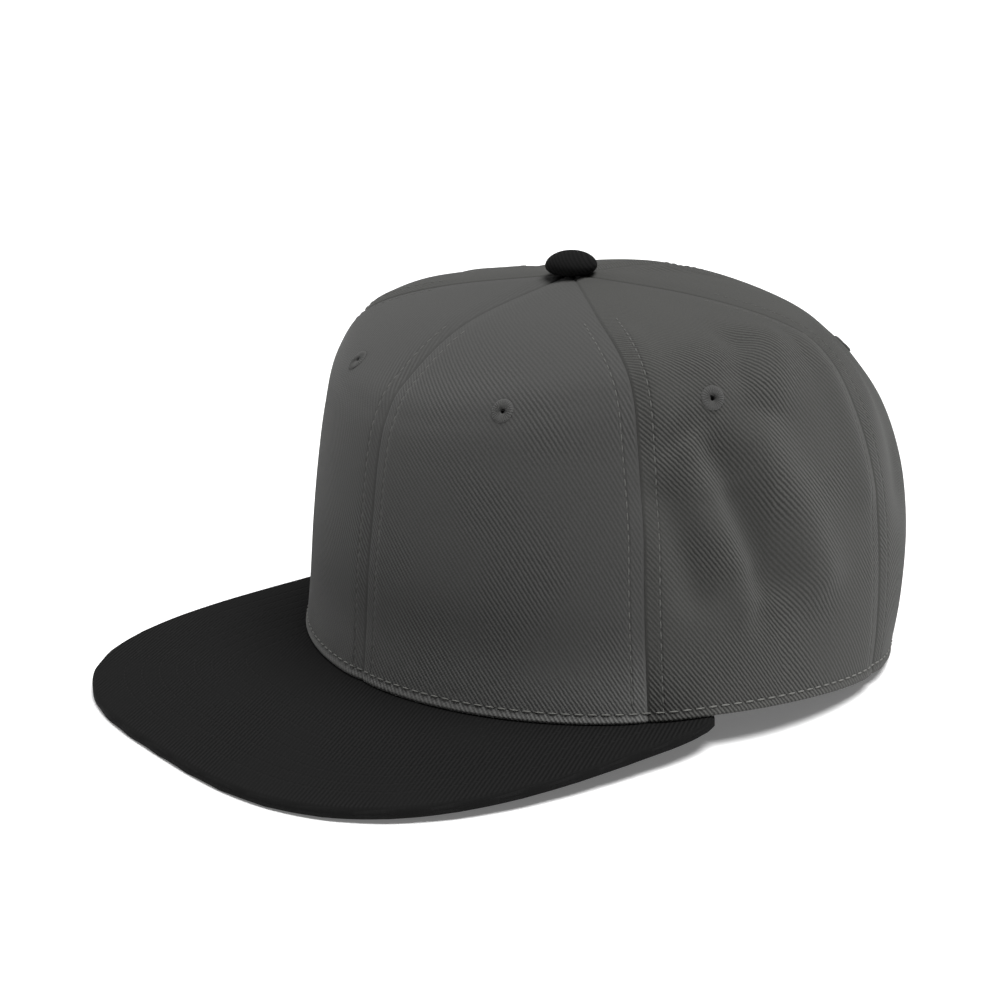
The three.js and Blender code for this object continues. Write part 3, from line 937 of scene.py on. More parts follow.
@dataclass(frozen=True)
class CrownPanels:
    """The six cloth panels of the crown."""

    columns: int = 88
    rows: int = 130
    seam_ease: float = 0.8
    hem_crowding: float = 1.3
    edge_roll: float = 0.35
    edge_width: float = 0.5
    hem_lip: float = 0.5
    hem_row: float = 4.2
    eyelet_hole: float = 2.2
    eyelet_field: float = 6.0
    seam_row: float = 4.8
    seam_gap: float = 0.02

    def specs(self, form: CapForm) -> tuple[PanelSpec, ...]:
        """The panels in order round the crown.

        Args:
            form: Sizes of the cap.

        Returns:
            One entry for each panel.
        """
        front, side = form.front_seam, form.side_seam
        return (
            PanelSpec("panel_front_left", 0.0, front, 54.0),
            PanelSpec("panel_front_right", -front, 0.0, 54.0),
            PanelSpec("panel_side_left", front, side, 52.0),
            PanelSpec("panel_side_right", -side, -front, 52.0),
            PanelSpec("panel_back_left", side, 180.0, 50.0),
            PanelSpec("panel_back_right", -180.0, -side, 50.0),
        )

    def steps_round(self, form: CapForm, spec: PanelSpec, across: np.ndarray) -> np.ndarray:
        """Turns of a panel's columns, closer together at the seams and at the edge of the arch.

        Args:
            form: Sizes of the cap.
            spec: The panel.
            across: Even places across the panel.

        Returns:
            Turns in degrees.
        """
        if "back" not in spec.node:
            return spec.turn + (spec.to_turn - spec.turn) * eased(across, self.seam_ease)
        outer = across if spec.turn > 0 else 1.0 - across
        edge = 180.0 - math.degrees(math.asin(form.arch_half_width / form.side_reach))
        cloth = form.side_seam + (edge - form.side_seam) * eased(np.clip(outer * 2, 0, 1), self.seam_ease)
        swing = np.cos(np.clip(outer * 2 - 1, 0, 1) * math.pi / 2)
        arch = 180.0 - np.degrees(np.arcsin(form.arch_half_width / form.side_reach * swing))
        turn = np.where(outer < 0.5, cloth, arch)
        return turn if spec.turn > 0 else -turn

    def open_eyelets(self, form: CapForm, turn: np.ndarray, share: np.ndarray) -> tuple:
        """Moves vertices aside round the eyelets.

        Args:
            form: Sizes of the cap.
            turn: Turns of the vertices.
            share: Shares of the vertices.

        Returns:
            New turns and shares.
        """
        for eyelet in EYELETS:
            reach = form.side_reach * profile_curve(Side.ACROSS, np.array(eyelet.share))[0]
            x = np.radians(wrap_turn(turn - eyelet.turn)) * reach
            y = (share - eyelet.share) * form.panel_length
            distance = np.maximum(np.hypot(x, y), 1e-6)
            near = distance < self.eyelet_field
            spread = self.eyelet_hole + distance * (1 - self.eyelet_hole / self.eyelet_field)
            factor = np.where(near, spread / distance, 1.0)
            turn = np.where(near, eyelet.turn + np.degrees(x * factor / reach), turn)
            share = np.where(near, eyelet.share + y * factor / form.panel_length, share)
        return turn, share

    def cut_eyelets(self, bm: bmesh.types.BMesh, form: CapForm) -> None:
        """Deletes the one face that covers each eyelet's hole.

        Args:
            bm: A panel's open sheet.
            form: Sizes of the cap.
        """
        for eyelet in EYELETS:
            centre = Vector(form.skin(np.array([eyelet.turn]), np.array([eyelet.share]))[0])
            closest = min(bm.faces, key=lambda face: (face.calc_center_median() - centre).length)
            if (closest.calc_center_median() - centre).length < self.eyelet_hole:
                bmesh.ops.delete(bm, geom=[closest], context="FACES_ONLY")

    def build(self, shop: Workshop, stiff: bpy.types.Material, soft: bpy.types.Material) -> None:
        """Builds the panels.

        Args:
            shop: Where pieces are finished.
            stiff: Cloth of the two front panels, which is fused to a stiffener.
            soft: Cloth of the others.
        """
        form = shop.form
        for spec in self.specs(form):
            bm, across, up = grid(self.columns, self.rows)
            turn = self.steps_round(form, spec, across)
            foot = form.arch_share(turn) if "back" in spec.node else np.zeros(turn.shape)
            share = foot + (form.top_share - foot) * up**self.hem_crowding
            turn, share = self.open_eyelets(form, turn, share)
            reach = np.hypot(*form.plain(turn, share)[:, :2].T)
            trim = np.degrees(self.seam_gap / 2 / reach)
            part = (turn - spec.turn) / (spec.to_turn - spec.turn)
            turn = spec.turn + trim + (spec.to_turn - spec.turn - 2 * trim) * part
            edge = form.seam_distance(turn, share)
            above = (share - foot) * form.panel_length
            roll = np.exp(-((edge / self.edge_width) ** 2)) + np.exp(-((above / self.edge_width) ** 2))
            lip = self.hem_lip * (1.0 - smoothstep(above, 0.0, self.hem_row)) * (foot == 0)
            points = form.under(form.skin, turn, share, self.edge_roll * roll - lip)
            middle = (spec.turn + spec.to_turn) / 2
            round_mm = np.radians(wrap_turn(turn - middle)) * reach
            slant = math.radians(spec.rib_angle)
            up_mm = form.length_up(middle, share)
            weave = np.stack(
                [
                    round_mm * math.sin(slant) + up_mm * math.cos(slant),
                    round_mm * math.cos(slant) - up_mm * math.sin(slant),
                ],
                axis=-1,
            )
            write_map(bm, "weave", weave)
            write_map(bm, "rows", np.stack([edge, above], axis=-1))
            place_vertices(bm, points)
            self.cut_eyelets(bm, form)
            thicken(bm, form.under(form.skin, turn, share, np.full(turn.shape, form.wall)))
            cloth = stiff if "front" in spec.node else soft
            shop.finish(bm, spec.node.replace("panel", "twill"), "grey_twill", cloth, spec.node)


# Stitching


@dataclass(frozen=True)
class StitchStyle:
    """A stitch of thread, in millimetres."""

    pitch: float = 3.0
    length: float = 2.2
    width: float = 0.5
    rise: float = 0.09


def even_places(points: np.ndarray, pitch: float) -> np.ndarray:
    """Evenly spaced places along a line.

    Args:
        points: The line's points, one row each.
        pitch: Distance of the places.

    Returns:
        Places as parts of the point numbers.
    """
    run = np.concatenate([[0.0], np.cumsum(np.linalg.norm(np.diff(points, axis=0), axis=1))])
    count = max(int(run[-1] / pitch), 1)
    middles = (np.arange(count) + 0.5) * run[-1] / count
    return np.interp(middles, run, np.arange(len(points)))


def stitch_row(points: np.ndarray, normals: np.ndarray, style: StitchStyle) -> bmesh.types.BMesh:
    """A row of stitches along a line.

    Args:
        points: The line's points, one row each.
        normals: The cloth's normals there.
        style: Sizes of the stitches.

    Returns:
        Their mesh.
    """
    bm = bmesh.new()
    numbers = np.arange(len(points))
    for place in even_places(points, style.pitch):
        centre = Vector([np.interp(place, numbers, points[:, k]) for k in range(3)])
        normal = Vector([np.interp(place, numbers, normals[:, k]) for k in range(3)]).normalized()
        first = min(int(place), len(points) - 2)
        along = Vector(points[first + 1] - points[first]).normalized()
        aside = normal.cross(along).normalized()
        normal = along.cross(aside)
        axes = Matrix((along, aside, normal)).transposed().to_4x4()
        size = Matrix.Diagonal((style.length / 2, style.width / 2, style.width / 2, 1.0))
        where = Matrix.Translation(centre + normal * (style.rise - style.width / 4)) @ axes @ size
        bmesh.ops.create_uvsphere(bm, u_segments=8, v_segments=5, radius=1.0, matrix=where)
    return bm


def join(parts: Iterable[bmesh.types.BMesh]) -> bmesh.types.BMesh:
    """Joins meshes into one.

    Args:
        parts: The meshes, freed here.

    Returns:
        The joined mesh.
    """
    whole = bmesh.new()
    for part in parts:
        holder = bpy.data.meshes.new("part")
        part.to_mesh(holder)
        part.free()
        whole.from_mesh(holder)
        bpy.data.meshes.remove(holder)
    return whole


@dataclass(frozen=True)
class CrownStitching:
    """Rows of stitches on both sides of each seam, above the hem and round the arch."""

    seam_row: float = 4.8
    hem_row: float = 4.2
    top_share: float = 0.86
    style: StitchStyle = StitchStyle()
    hem_style: StitchStyle = StitchStyle(pitch=3.7, length=2.9, width=0.5, rise=0.2)

    def on_skin(self, form: CapForm, turn: np.ndarray, share: np.ndarray) -> bmesh.types.BMesh:
        """A row on the crown.

        Args:
            form: Sizes of the cap.
            turn: Turns of the line's points.
            share: Shares of the line's points.

        Returns:
            The row's mesh.
        """
        normals = form.normal(form.skin, turn, share)
        return stitch_row(form.skin(turn, share), normals, self.style)

    def build(self, shop: Workshop, material: bpy.types.Material, hem_material: bpy.types.Material) -> None:
        """Builds the stitching.

        Args:
            shop: Where pieces are finished.
            material: The thread of the seams and the arch.
            hem_material: The thread of the row above the hem, painted paler as painted light.
        """
        form = shop.form
        parts = []
        for seam in form.seam_turns:
            for side in (-1, 1):
                share = np.linspace(0.012, self.top_share, 200)
                reach = form.side_reach * profile_curve(Side.ACROSS, share)[0]
                turn = seam + side * np.degrees(self.seam_row / np.maximum(reach, 1.0))
                foot = form.arch_share(turn)
                keep = share > foot + self.hem_row / form.panel_length * (foot > 0)
                parts.append(self.on_skin(form, turn[keep], share[keep]))
        edge = 180.0 - math.degrees(math.asin((form.arch_half_width + self.hem_row) / form.side_reach))
        turn = np.linspace(-edge, edge, 900)
        share = np.full(turn.shape, self.hem_row / form.panel_length)
        normals = form.normal(form.skin, turn, share)
        hem_line = stitch_row(form.skin(turn, share), normals, self.hem_style)
        shop.finish(hem_line, "hem_stitching", "grey_thread", hem_material)
        half_width, height = form.arch_half_width + self.hem_row, form.arch_height + self.hem_row
        rim = replace(form, arch_half_width=half_width, arch_height=height)
        swing = np.linspace(0.03, math.pi - 0.03, 300)
        turn = 180.0 - np.degrees(np.arcsin(rim.arch_half_width / form.side_reach * np.cos(swing)))
        share = rim.arch_share(turn)
        parts.append(self.on_skin(form, turn, share))
        shop.finish(join(parts), "crown_stitching", "grey_thread", material)


@dataclass(frozen=True)
class EyeletRings:
    """Eyelets worked in thread."""

    hole: float = 0.8
    radius: float = 3.4
    rise: float = 0.42
    sleeve: float = 1.9
    inner_radius: float = 2.6
    inner_seat: float = 0.75
    threads: int = 26
    thread_depth: float = 0.1
    steps: int = 136

    def outline(self, form: CapForm) -> list[Vector]:
        """Closed section of a ring, as radius and height.

        Args:
            form: Sizes of the cap.

        Returns:
            Its points.
        """
        foot = -form.wall - self.inner_seat
        places = [
            (self.hole, foot - 0.3),
            (self.inner_radius, foot - 0.3),
            (self.inner_radius, foot),
            (self.sleeve, foot),
            (self.sleeve, -0.2),
            (self.radius, -0.1),
            (self.radius * 0.97, 0.1),
            (self.radius * 0.9, self.rise * 0.6),
            (self.radius * 0.8, self.rise * 0.93),
            (self.radius * 0.66, self.rise),
            (self.radius * 0.5, self.rise * 0.92),
            (self.hole * 1.5, self.rise * 0.6),
            (self.hole * 1.1, self.rise * 0.2),
            (self.hole, -0.4),
        ]
        return [Vector((radius, 0.0, height)) for radius, height in places]

    def build(self, shop: Workshop, material: bpy.types.Material) -> None:
        """Builds the rings.

        Args:
            shop: Where pieces are finished.
            material: The thread.
        """
        form = shop.form
        for eyelet in EYELETS:
            bm = bmesh.new()
            corners = [bm.verts.new(place) for place in self.outline(form)]
            ring = [bm.edges.new((corners[i - 1], corners[i])) for i in range(len(corners))]
            spin_round(bm, corners + ring, self.steps)
            for vertex in bm.verts:
                angle = math.atan2(vertex.co.y, vertex.co.x)
                if vertex.co.z > 0:
                    vertex.co.z += self.thread_depth * math.cos(self.threads * angle)
            bmesh.ops.recalc_face_normals(bm, faces=bm.faces)
            turn, share = np.array([eyelet.turn]), np.array([eyelet.share])
            centre = Vector(form.skin(turn, share)[0])
            outward = Vector(form.normal(form.skin, turn, share)[0])
            aim = Matrix.Translation(centre) @ outward.to_track_quat("Z", "Y").to_matrix().to_4x4()
            bmesh.ops.transform(bm, matrix=aim, verts=bm.verts)
            shop.finish(bm, eyelet.name.replace("eyelet", "ring"), "grey_thread", material, eyelet.name)


@dataclass(frozen=True)
class CoveredButton:
    """The cloth-covered button with its shank and inner flange."""

    radius: float = 7.8
    rise: float = 6.8
    edge: float = 2.2
    shank: float = 2.2
    flange: float = 5.0
    flange_thick: float = 0.8
    seat: float = 0.3
    inner_drop: float = 3.5
    rib_slant: float = 45.0
    rib_lean: float = 0.7
    dome_steps: int = 16
    steps: int = 72

    def build(self, shop: Workshop, material: bpy.types.Material) -> None:
        """Builds the button.

        Args:
            shop: Where pieces are finished.
            material: Its cloth.
        """
        form = shop.form
        rim = form.crown_top - 0.35
        inner = form.crown_top - self.inner_drop
        places = [(0.0, inner - self.flange_thick), (self.flange, inner - self.flange_thick)]
        places += [(self.flange, inner), (self.shank, inner), (self.shank, form.crown_top + self.seat)]
        places += [(self.radius * 0.6, rim + 0.3), (self.radius * 0.75, rim)]
        places += [(self.radius * 0.88, rim + self.edge * 0.25), (self.radius * 0.97, rim + self.edge * 0.6)]
        for step in range(self.dome_steps + 1):
            angle = math.pi / 2 * step / self.dome_steps
            lift = self.edge + (self.rise - self.edge) * math.sin(angle)
            out = self.radius * math.cos(angle) if step < self.dome_steps else 0.0
            places.append((out, rim + lift))
        bm = bmesh.new()
        corners = [bm.verts.new((radius, 0.0, height)) for radius, height in places]
        line = [bm.edges.new(pair) for pair in zip(corners, corners[1:])]
        spin_round(bm, corners + line, self.steps)
        bmesh.ops.remove_doubles(bm, verts=bm.verts, dist=1e-4)
        bmesh.ops.recalc_face_normals(bm, faces=bm.faces)
        bm.verts.index_update()
        flat = np.array([v.co[:] for v in bm.verts])
        slant = math.radians(self.rib_slant)
        across = flat[:, 0] * math.sin(slant) + flat[:, 1] * math.cos(slant)
        across = across + flat[:, 2] * self.rib_lean
        along = flat[:, 0] * math.cos(slant) - flat[:, 1] * math.sin(slant)
        write_map(bm, "weave", np.stack([across, along], axis=-1))
        write_map(bm, "rows", np.full((len(flat), 2), NO_ROW))
        shop.finish(bm, "button_cover", "black_twill", material, "button")


@dataclass(frozen=True)
class Peak:
    """The flat peak: its cloth and its rows of stitching."""

    columns: int = 300
    rows: int = 90
    end_gap: float = 0.012
    edge_crowding: float = 2.0
    rib_angle: float = 53.0
    first_row: float = 9.5
    row_pitch: float = 5.2
    row_count: int = 8
    row_reach: float = 1.95
    crown_gap: float = 1.5
    style: StitchStyle = StitchStyle(pitch=2.8, length=2.1, width=0.4, rise=0.02)

    def corner(self, form: CapForm) -> tuple[float, float]:
        """Where the outline runs under the crown's wall.

        Args:
            form: Sizes of the cap.

        Returns:
            Radians round the peak's centre and the crown's turn in degrees.
        """
        low, high = math.radians(60), math.radians(130)
        side, front = form.side_reach - form.wall, form.front_reach - form.wall
        for _ in range(40):
            angle = (low + high) / 2
            x, y = form.brim_outline(np.array([angle]))[0]
            if (x / side) ** 2 + (y / front) ** 2 > 1:
                low = angle
            else:
                high = angle
        return low, math.degrees(math.atan2(x / side, -y / front))

    def flat_grid(self, form: CapForm) -> tuple[bmesh.types.BMesh, np.ndarray]:
        """A grid between the crown's wall and the outline.

        Args:
            form: Sizes of the cap.

        Returns:
            The mesh and its plan points.
        """
        bm, across, up = grid(self.columns, self.rows)
        angle, turn = self.corner(form)
        swing = (across * 2 - 1) * (1 - self.end_gap)
        outer = form.brim_outline(swing * angle)
        inward = np.radians(swing * turn)
        side, front = form.side_reach - form.wall, form.front_reach - form.wall
        inner = np.stack([side * np.sin(inward), -front * np.cos(inward)], axis=-1)
        reach = 1.0 - (1.0 - up) ** self.edge_crowding
        return bm, inner + (outer - inner) * reach[:, None]

    def edge_distance(self, form: CapForm, plan: np.ndarray) -> np.ndarray:
        """Distance from the outline.

        Args:
            form: Sizes of the cap.
            plan: Points x, y.

        Returns:
            Millimetres.
        """
        rim = form.brim_outline(np.linspace(-2.2, 2.2, 700))
        return np.array([np.min(np.hypot(rim[:, 0] - x, rim[:, 1] - y)) for x, y in plan])

    def build(self, shop: Workshop, material: bpy.types.Material) -> None:
        """Builds the cloth.

        Args:
            shop: Where pieces are finished.
            material: Its cloth.
        """
        form = shop.form
        bm, plan = self.flat_grid(form)
        slant = math.radians(self.rib_angle)
        across = plan[:, 0] * math.sin(slant) + plan[:, 1] * math.cos(slant)
        along = plan[:, 0] * math.cos(slant) - plan[:, 1] * math.sin(slant)
        write_map(bm, "weave", np.stack([across, along], axis=-1))
        away = self.edge_distance(form, plan)
        write_map(bm, "rows", np.stack([away, np.full(len(away), NO_ROW)], axis=-1))
        top = form.brim_top(plan[:, 1])
        short = np.clip(1.0 - away / form.brim_round, 0.0, 1.0)
        drop = form.brim_round * (1.0 - np.sqrt(1.0 - short**2))
        place_vertices(bm, np.column_stack([plan, top - drop]))
        thicken(bm, np.column_stack([plan, top - form.brim_thick + drop]))
        shop.finish(bm, "peak_cloth", "black_twill", material, "brim")

    def row_distances(self) -> list[float]:
        """Distances of the stitched rows from the edge.

        Returns:
            Millimetres.
        """
        return [self.first_row + self.row_pitch * number for number in range(self.row_count)]

    def build_stitching(self, shop: Workshop, material: bpy.types.Material) -> None:
        """Builds the rows of stitches.

        Args:
            shop: Where pieces are finished.
            material: The thread.
        """
        form = shop.form
        angles = np.linspace(-self.row_reach, self.row_reach, 900)
        rim = form.brim_outline(angles)
        run = np.gradient(rim, axis=0)
        inward = np.stack([-run[:, 1], run[:, 0]], axis=-1)
        inward /= np.linalg.norm(inward, axis=1, keepdims=True)
        side, front = form.side_reach + self.crown_gap, form.front_reach + self.crown_gap
        parts = []
        for distance in self.row_distances():
            plan = rim + inward * distance
            free = (plan[:, 0] / side) ** 2 + (plan[:, 1] / front) ** 2 > 1
            true_distance = self.edge_distance(form, plan) > distance - 0.2
            plan = plan[free & (plan[:, 1] < form.brim_corner_y) & true_distance]
            if len(plan) > 10:
                points = np.column_stack([plan, form.brim_top(plan[:, 1])])
                normals = np.tile([0.0, -form.brim_slope, 1.0], (len(plan), 1))
                parts.append(stitch_row(points, normals, self.style))
        shop.finish(join(parts), "peak_stitching", "black_twill", material)


# Bands that are made flat and bent along the crown


def bend(bm: bmesh.types.BMesh, form: CapForm, surface: Callable, depth_at: Callable) -> None:
    """Bends a flat band onto the crown: x runs round from the middle of the back, y is up, z is outward.

    Args:
        bm: The flat band.
        form: Sizes of the cap.
        surface: The surface that it follows.
        depth_at: Depth of the band's outer face under the surface, as a function of x.
    """
    flat = np.array([v.co[:] for v in bm.verts])
    arc = (form.side_reach + form.back_reach) / 2
    turn = 180.0 - np.degrees(flat[:, 0] / arc)
    share = flat[:, 1] / form.panel_length
    place_vertices(bm, form.under(surface, turn, share, depth_at(flat[:, 0]) - flat[:, 2]))


@dataclass(frozen=True)
class Sweatband:
    """The band inside the hem."""

    foot: float = 1.0
    height: float = 34.0
    thick: float = 1.4
    slack: float = 0.6
    end_turn: float = 143.0

    def build(self, shop: Workshop, material: bpy.types.Material) -> None:
        """Builds the band.

        Args:
            shop: Where pieces are finished.
            material: Its cotton.
        """
        form = shop.form
        bm, across, up = grid(360, 24)
        turn = (across * 2 - 1) * self.end_turn
        share = (self.foot + self.height * up) / form.panel_length
        outer = np.full(turn.shape, form.wall + self.slack)
        place_vertices(bm, form.under(form.skin, turn, share, outer))
        thicken(bm, form.under(form.skin, turn, share, outer + self.thick))
        shop.finish(bm, "band_cotton", "black_cotton", material, "sweatband")


@dataclass(frozen=True)
class SnapClosure:
    """The two plastic bands of the closure, fastened."""

    height: float = 18.0
    foot: float = 1.0
    thick: float = 1.2
    slack: float = 0.5
    end: float = 58.0
    pitch: float = 8.5
    count: int = 7
    fastened: int = 5
    margin: float = 5.5
    corner: float = 5.0
    peg_radius: float = 1.6
    peg_head: float = 2.05
    peg_rise: float = 1.4
    peg_sides: int = 24

    @property
    def tip(self) -> float:
        """Where a band's free end lies, from the middle of the back."""
        return (self.fastened - 1) / 2 * self.pitch + self.margin

    def snap_runs(self) -> list[float]:
        """Places of the holes from the middle of the back.

        Returns:
            Millimetres toward the wearer's left.
        """
        return [(number - (self.fastened - 1) / 2) * self.pitch for number in range(self.count)]

    def cell(self, left: float, right: float, hole: float) -> bmesh.types.BMesh:
        """One pitch of a band, with a round hole in its middle if it has a radius.

        Args:
            left: Where the cell starts.
            right: Where it ends.
            hole: Radius of the hole, or 0.

        Returns:
            A flat mesh.
        """
        across, up = 6, 12
        bm = bmesh.new()
        low, high = self.foot, self.foot + self.height
        xs = np.linspace(left, right, across + 1)
        ys = np.linspace(low, high, up + 1)
        rim = [(x, low) for x in xs[:-1]] + [(right, y) for y in ys[:-1]]
        rim += [(x, high) for x in xs[:0:-1]] + [(left, y) for y in ys[:0:-1]]
        if not hole:
            bmesh.ops.create_grid(bm, x_segments=across, y_segments=up, size=0.5)
            stretch = Matrix.Diagonal((right - left, self.height, 1.0, 1.0))
            move = Matrix.Translation(((left + right) / 2, (low + high) / 2, 0.0))
            bmesh.ops.transform(bm, matrix=move @ stretch, verts=bm.verts)
            return bm
        middle = Vector(((left + right) / 2, (low + high) / 2, 0.0))
        loops = []
        for radius in (hole, hole * 1.5, None):
            corners = []
            for x, y in rim:
                outward = Vector((x, y, 0.0)) - middle
                place = Vector((x, y, 0.0)) if radius is None else middle + outward.normalized() * radius
                corners.append(bm.verts.new(place))
            loops.append([bm.edges.new((corners[i - 1], corners[i])) for i in range(len(corners))])
        bmesh.ops.bridge_loops(bm, edges=loops[0] + loops[1])
        bmesh.ops.bridge_loops(bm, edges=loops[1] + loops[2])
        return bm

    def band(self, holes: bool) -> bmesh.types.BMesh:
        """A flat band from its free end to its sewn end, toward the wearer's left.

        Args:
            holes: Whether it has the holes.

        Returns:
            Its mesh with thickness.
        """
        half = self.pitch / 2
        runs = self.snap_runs()
        cells = [self.cell(-self.tip, runs[0] - half, 0.0)] if runs[0] - half > -self.tip + 0.1 else []
        hole = self.peg_radius + 0.3 if holes else 0.0
        cells += [self.cell(run - half, run + half, hole) for run in runs]
        cells.append(self.cell(runs[-1] + half, self.end - half, 0.0))
        cells.append(self.cell(self.end - half, self.end, 0.0))
        bm = join(cells)
        bmesh.ops.remove_doubles(bm, verts=bm.verts, dist=1e-3)
        for vertex in bm.verts:
            free = self.corner - (self.tip + vertex.co.x)
            if free > 0:
                trim = self.corner - math.sqrt(self.corner**2 - min(free, self.corner) ** 2)
                middle = self.foot + self.height / 2
                vertex.co.y = middle + (vertex.co.y - middle) * (1 - 2 * trim / self.height)
        bmesh.ops.recalc_face_normals(bm, faces=bm.faces)
        bm.normal_update()
        if bm.faces[:][0].normal.z < 0:
            bmesh.ops.reverse_faces(bm, faces=bm.faces)
        bmesh.ops.solidify(bm, geom=bm.faces[:], thickness=self.thick)
        bm.normal_update()
        sharp = [edge for edge in bm.edges if edge.is_manifold and edge.calc_face_angle() > 1.0]
        bmesh.ops.bevel(bm, geom=sharp, offset=0.25, segments=2, profile=0.5, affect="EDGES", material=-1)
        return bm

    def peg(self, run: float) -> bmesh.types.BMesh:
        """A flat band's peg.

        Args:
            run: Where it stands.

        Returns:
            Its mesh.
        """
        neck = self.thick + 0.6
        places = [(0.0, -self.thick / 2), (self.peg_radius, -self.thick / 2), (self.peg_radius, neck)]
        places += [(self.peg_head, neck + 0.3), (self.peg_head, neck + 0.6)]
        places += [(self.peg_radius, neck + 1.15), (self.peg_radius * 0.5, neck + self.peg_rise)]
        places += [(0.0, neck + self.peg_rise + 0.05)]
        bm = bmesh.new()
        corners = [bm.verts.new((radius, 0.0, height)) for radius, height in places]
        line = [bm.edges.new(pair) for pair in zip(corners, corners[1:])]
        spin_round(bm, corners + line, self.peg_sides)
        bmesh.ops.remove_doubles(bm, verts=bm.verts, dist=1e-4)
        bmesh.ops.recalc_face_normals(bm, faces=bm.faces)
        bmesh.ops.translate(bm, vec=(run, self.foot + self.height / 2, 0.0), verts=bm.verts)
        return bm

    def build(self, shop: Workshop, material: bpy.types.Material) -> None:
        """Builds both bands.

        Args:
            shop: Where pieces are finished.
            material: Their plastic.
        """
        form = shop.form
        outer = form.wall + self.slack
        holes = self.band(True)
        bend(holes, form, form.plain, lambda run: np.full(run.shape, outer))
        shop.finish(holes, "snap_band_holes", "black_plastic", material, "strap_holes")

        def inner(run: np.ndarray) -> np.ndarray:
            """Depth of the band with pegs, which dips under the other where both lie.

            Args:
                run: Places round from the middle of the back.

            Returns:
                Millimetres under the crown's surface.
            """
            inside = smoothstep(run, -form.arch_half_width, -self.tip - self.thick)
            return outer + inside * (self.thick + form.clearance)

        pegs = join([self.band(False)] + [self.peg(run) for run in self.snap_runs()])
        for vertex in pegs.verts:
            vertex.co.x = -vertex.co.x
        bmesh.ops.reverse_faces(pegs, faces=pegs.faces)
        bend(pegs, form, form.plain, inner)
        shop.finish(pegs, "snap_band_pegs", "black_plastic", material, "strap_pegs")


# Stage


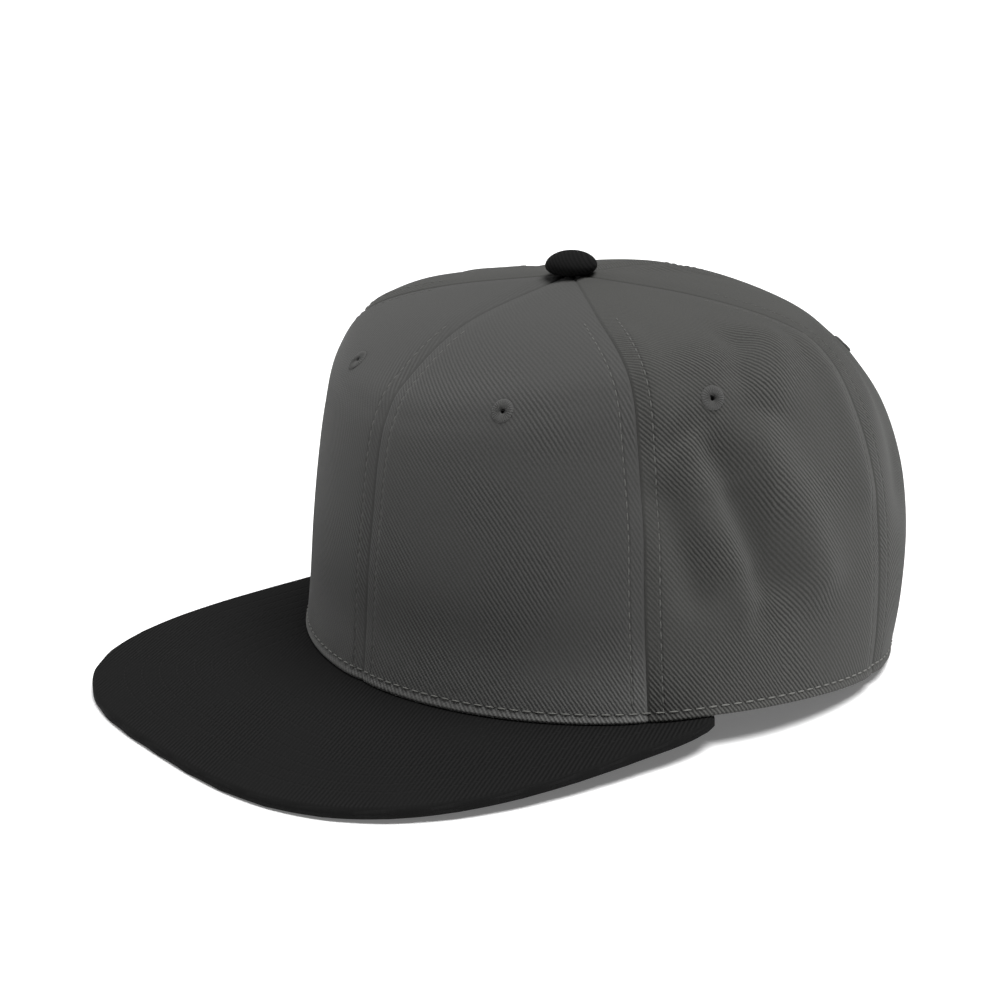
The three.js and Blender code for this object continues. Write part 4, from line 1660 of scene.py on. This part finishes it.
@dataclass(frozen=True)
class Studio:
    """Camera, lights and floor; lengths in millimetres, angles in degrees, directions from the cap."""

    azimuth: float = 52.34
    elevation: float = 14.25
    roll: float = 1.22
    distance: float = 659.7
    aim_right: float = -22.6
    aim_up: float = -11.9
    target_height: float = 60.0
    focal_pixels: float = 2159.0
    floor_radius: float = 30000.0
    floor_glow: float = 0.15
    room_glow: float = 0.1
    top_direction: tuple[float, float, float] = (0.22, 0.12, 0.95)
    top_spread: float = 42.0
    top_power: float = 4.4
    fill_direction: tuple[float, float, float] = (-1.0, -0.2, 0.3)
    fill_spread: float = 60.0
    fill_power: float = 0.9

    def place_camera(self, shop: Workshop) -> None:
        """Adds the camera at the photograph's angle.

        Args:
            shop: Holds where the button's axis stands.
        """
        azimuth, elevation = math.radians(self.azimuth), math.radians(self.elevation)
        flat = math.cos(elevation)
        back = Vector((math.sin(azimuth) * flat, -math.cos(azimuth) * flat, math.sin(elevation)))
        right = Vector((math.cos(azimuth), math.sin(azimuth), 0.0))
        up = back.cross(right)
        target = shop.offset + Vector((0.0, 0.0, self.target_height))
        eye = target + back * self.distance
        aim = target + right * self.aim_right + up * self.aim_up
        data = bpy.data.cameras.new("camera")
        data.sensor_width = SENSOR_MM
        data.lens = self.focal_pixels * SENSOR_MM / PICTURE_PIXELS
        data.clip_end = 100.0
        camera = bpy.data.objects.new("camera", data)
        turned = (eye - aim).to_track_quat("Z", "Y").to_matrix().to_4x4()
        rolled = turned @ Matrix.Rotation(math.radians(-self.roll), 4, "Z")
        camera.matrix_world = Matrix.Translation(eye * MM) @ rolled
        bpy.context.scene.collection.objects.link(camera)
        bpy.context.scene.camera = camera

    def add_light(self, name: str, toward: tuple, spread: float, power: float) -> None:
        """Adds a far, broad light.

        Args:
            name: Name of the light.
            toward: Direction from the cap to the light.
            spread: Its breadth in degrees.
            power: Its strength in watts for each square metre.
        """
        data = bpy.data.lights.new(name, "SUN")
        data.angle = math.radians(spread)
        data.energy = power
        light = bpy.data.objects.new(name, data)
        light.rotation_euler = Vector(toward).to_track_quat("Z", "Y").to_euler()
        bpy.context.scene.collection.objects.link(light)

    def build(self, shop: Workshop) -> None:
        """Builds the stage.

        Args:
            shop: Holds where the button's axis stands.
        """
        self.place_camera(shop)
        bm = bmesh.new()
        bmesh.ops.create_grid(bm, x_segments=4, y_segments=4, size=self.floor_radius * MM)
        mesh = bpy.data.meshes.new("floor")
        bm.to_mesh(mesh)
        bm.free()
        board = plain_material(PALE_FLOOR)
        lit = board.node_tree.nodes["Principled BSDF"].inputs
        lit["Emission Color"].default_value = srgb("ffffff")
        lit["Emission Strength"].default_value = self.floor_glow
        mesh.materials.append(board)
        floor = bpy.data.objects.new("floor", mesh)
        bpy.context.scene.collection.objects.link(floor)
        world = bpy.data.worlds.new("studio")
        world.use_nodes = True
        background = world.node_tree.nodes["Background"]
        background.inputs["Color"].default_value = srgb("ffffff")
        background.inputs["Strength"].default_value = self.room_glow
        bpy.context.scene.world = world
        bpy.context.scene.view_settings.view_transform = "Standard"
        self.add_light("top_light", self.top_direction, self.top_spread, self.top_power)
        self.add_light("left_fill", self.fill_direction, self.fill_spread, self.fill_power)


def main() -> None:
    """Builds the scene in order."""
    logging.basicConfig(level=logging.INFO, format="%(message)s")
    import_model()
    shop = Workshop(FORM)
    studio = Studio()
    studio.build(shop)
    peak = Peak()
    crown = CrownPanels()
    stiff_twill = twill_material(STIFF_TWILL, 0.22, [crown.seam_row])
    soft_twill = twill_material(SOFT_TWILL, 0.22, [crown.seam_row])
    black_twill = twill_material(BLACK_TWILL, 0.15, peak.row_distances())
    grey_thread = plain_material(GREY_THREAD)
    black_thread = plain_material(BLACK_THREAD)
    crown.build(shop, stiff_twill, soft_twill)
    CrownStitching().build(shop, grey_thread, plain_material(PAINTED_LIGHT_HEM_THREAD))
    EyeletRings().build(shop, plain_material(RING_THREAD))
    CoveredButton().build(shop, black_twill)
    peak.build(shop, black_twill)
    peak.build_stitching(shop, black_thread)
    Sweatband().build(shop, plain_material(BLACK_COTTON))
    SnapClosure().build(shop, plain_material(BLACK_PLASTIC))


if __name__ == "__main__":
    main()
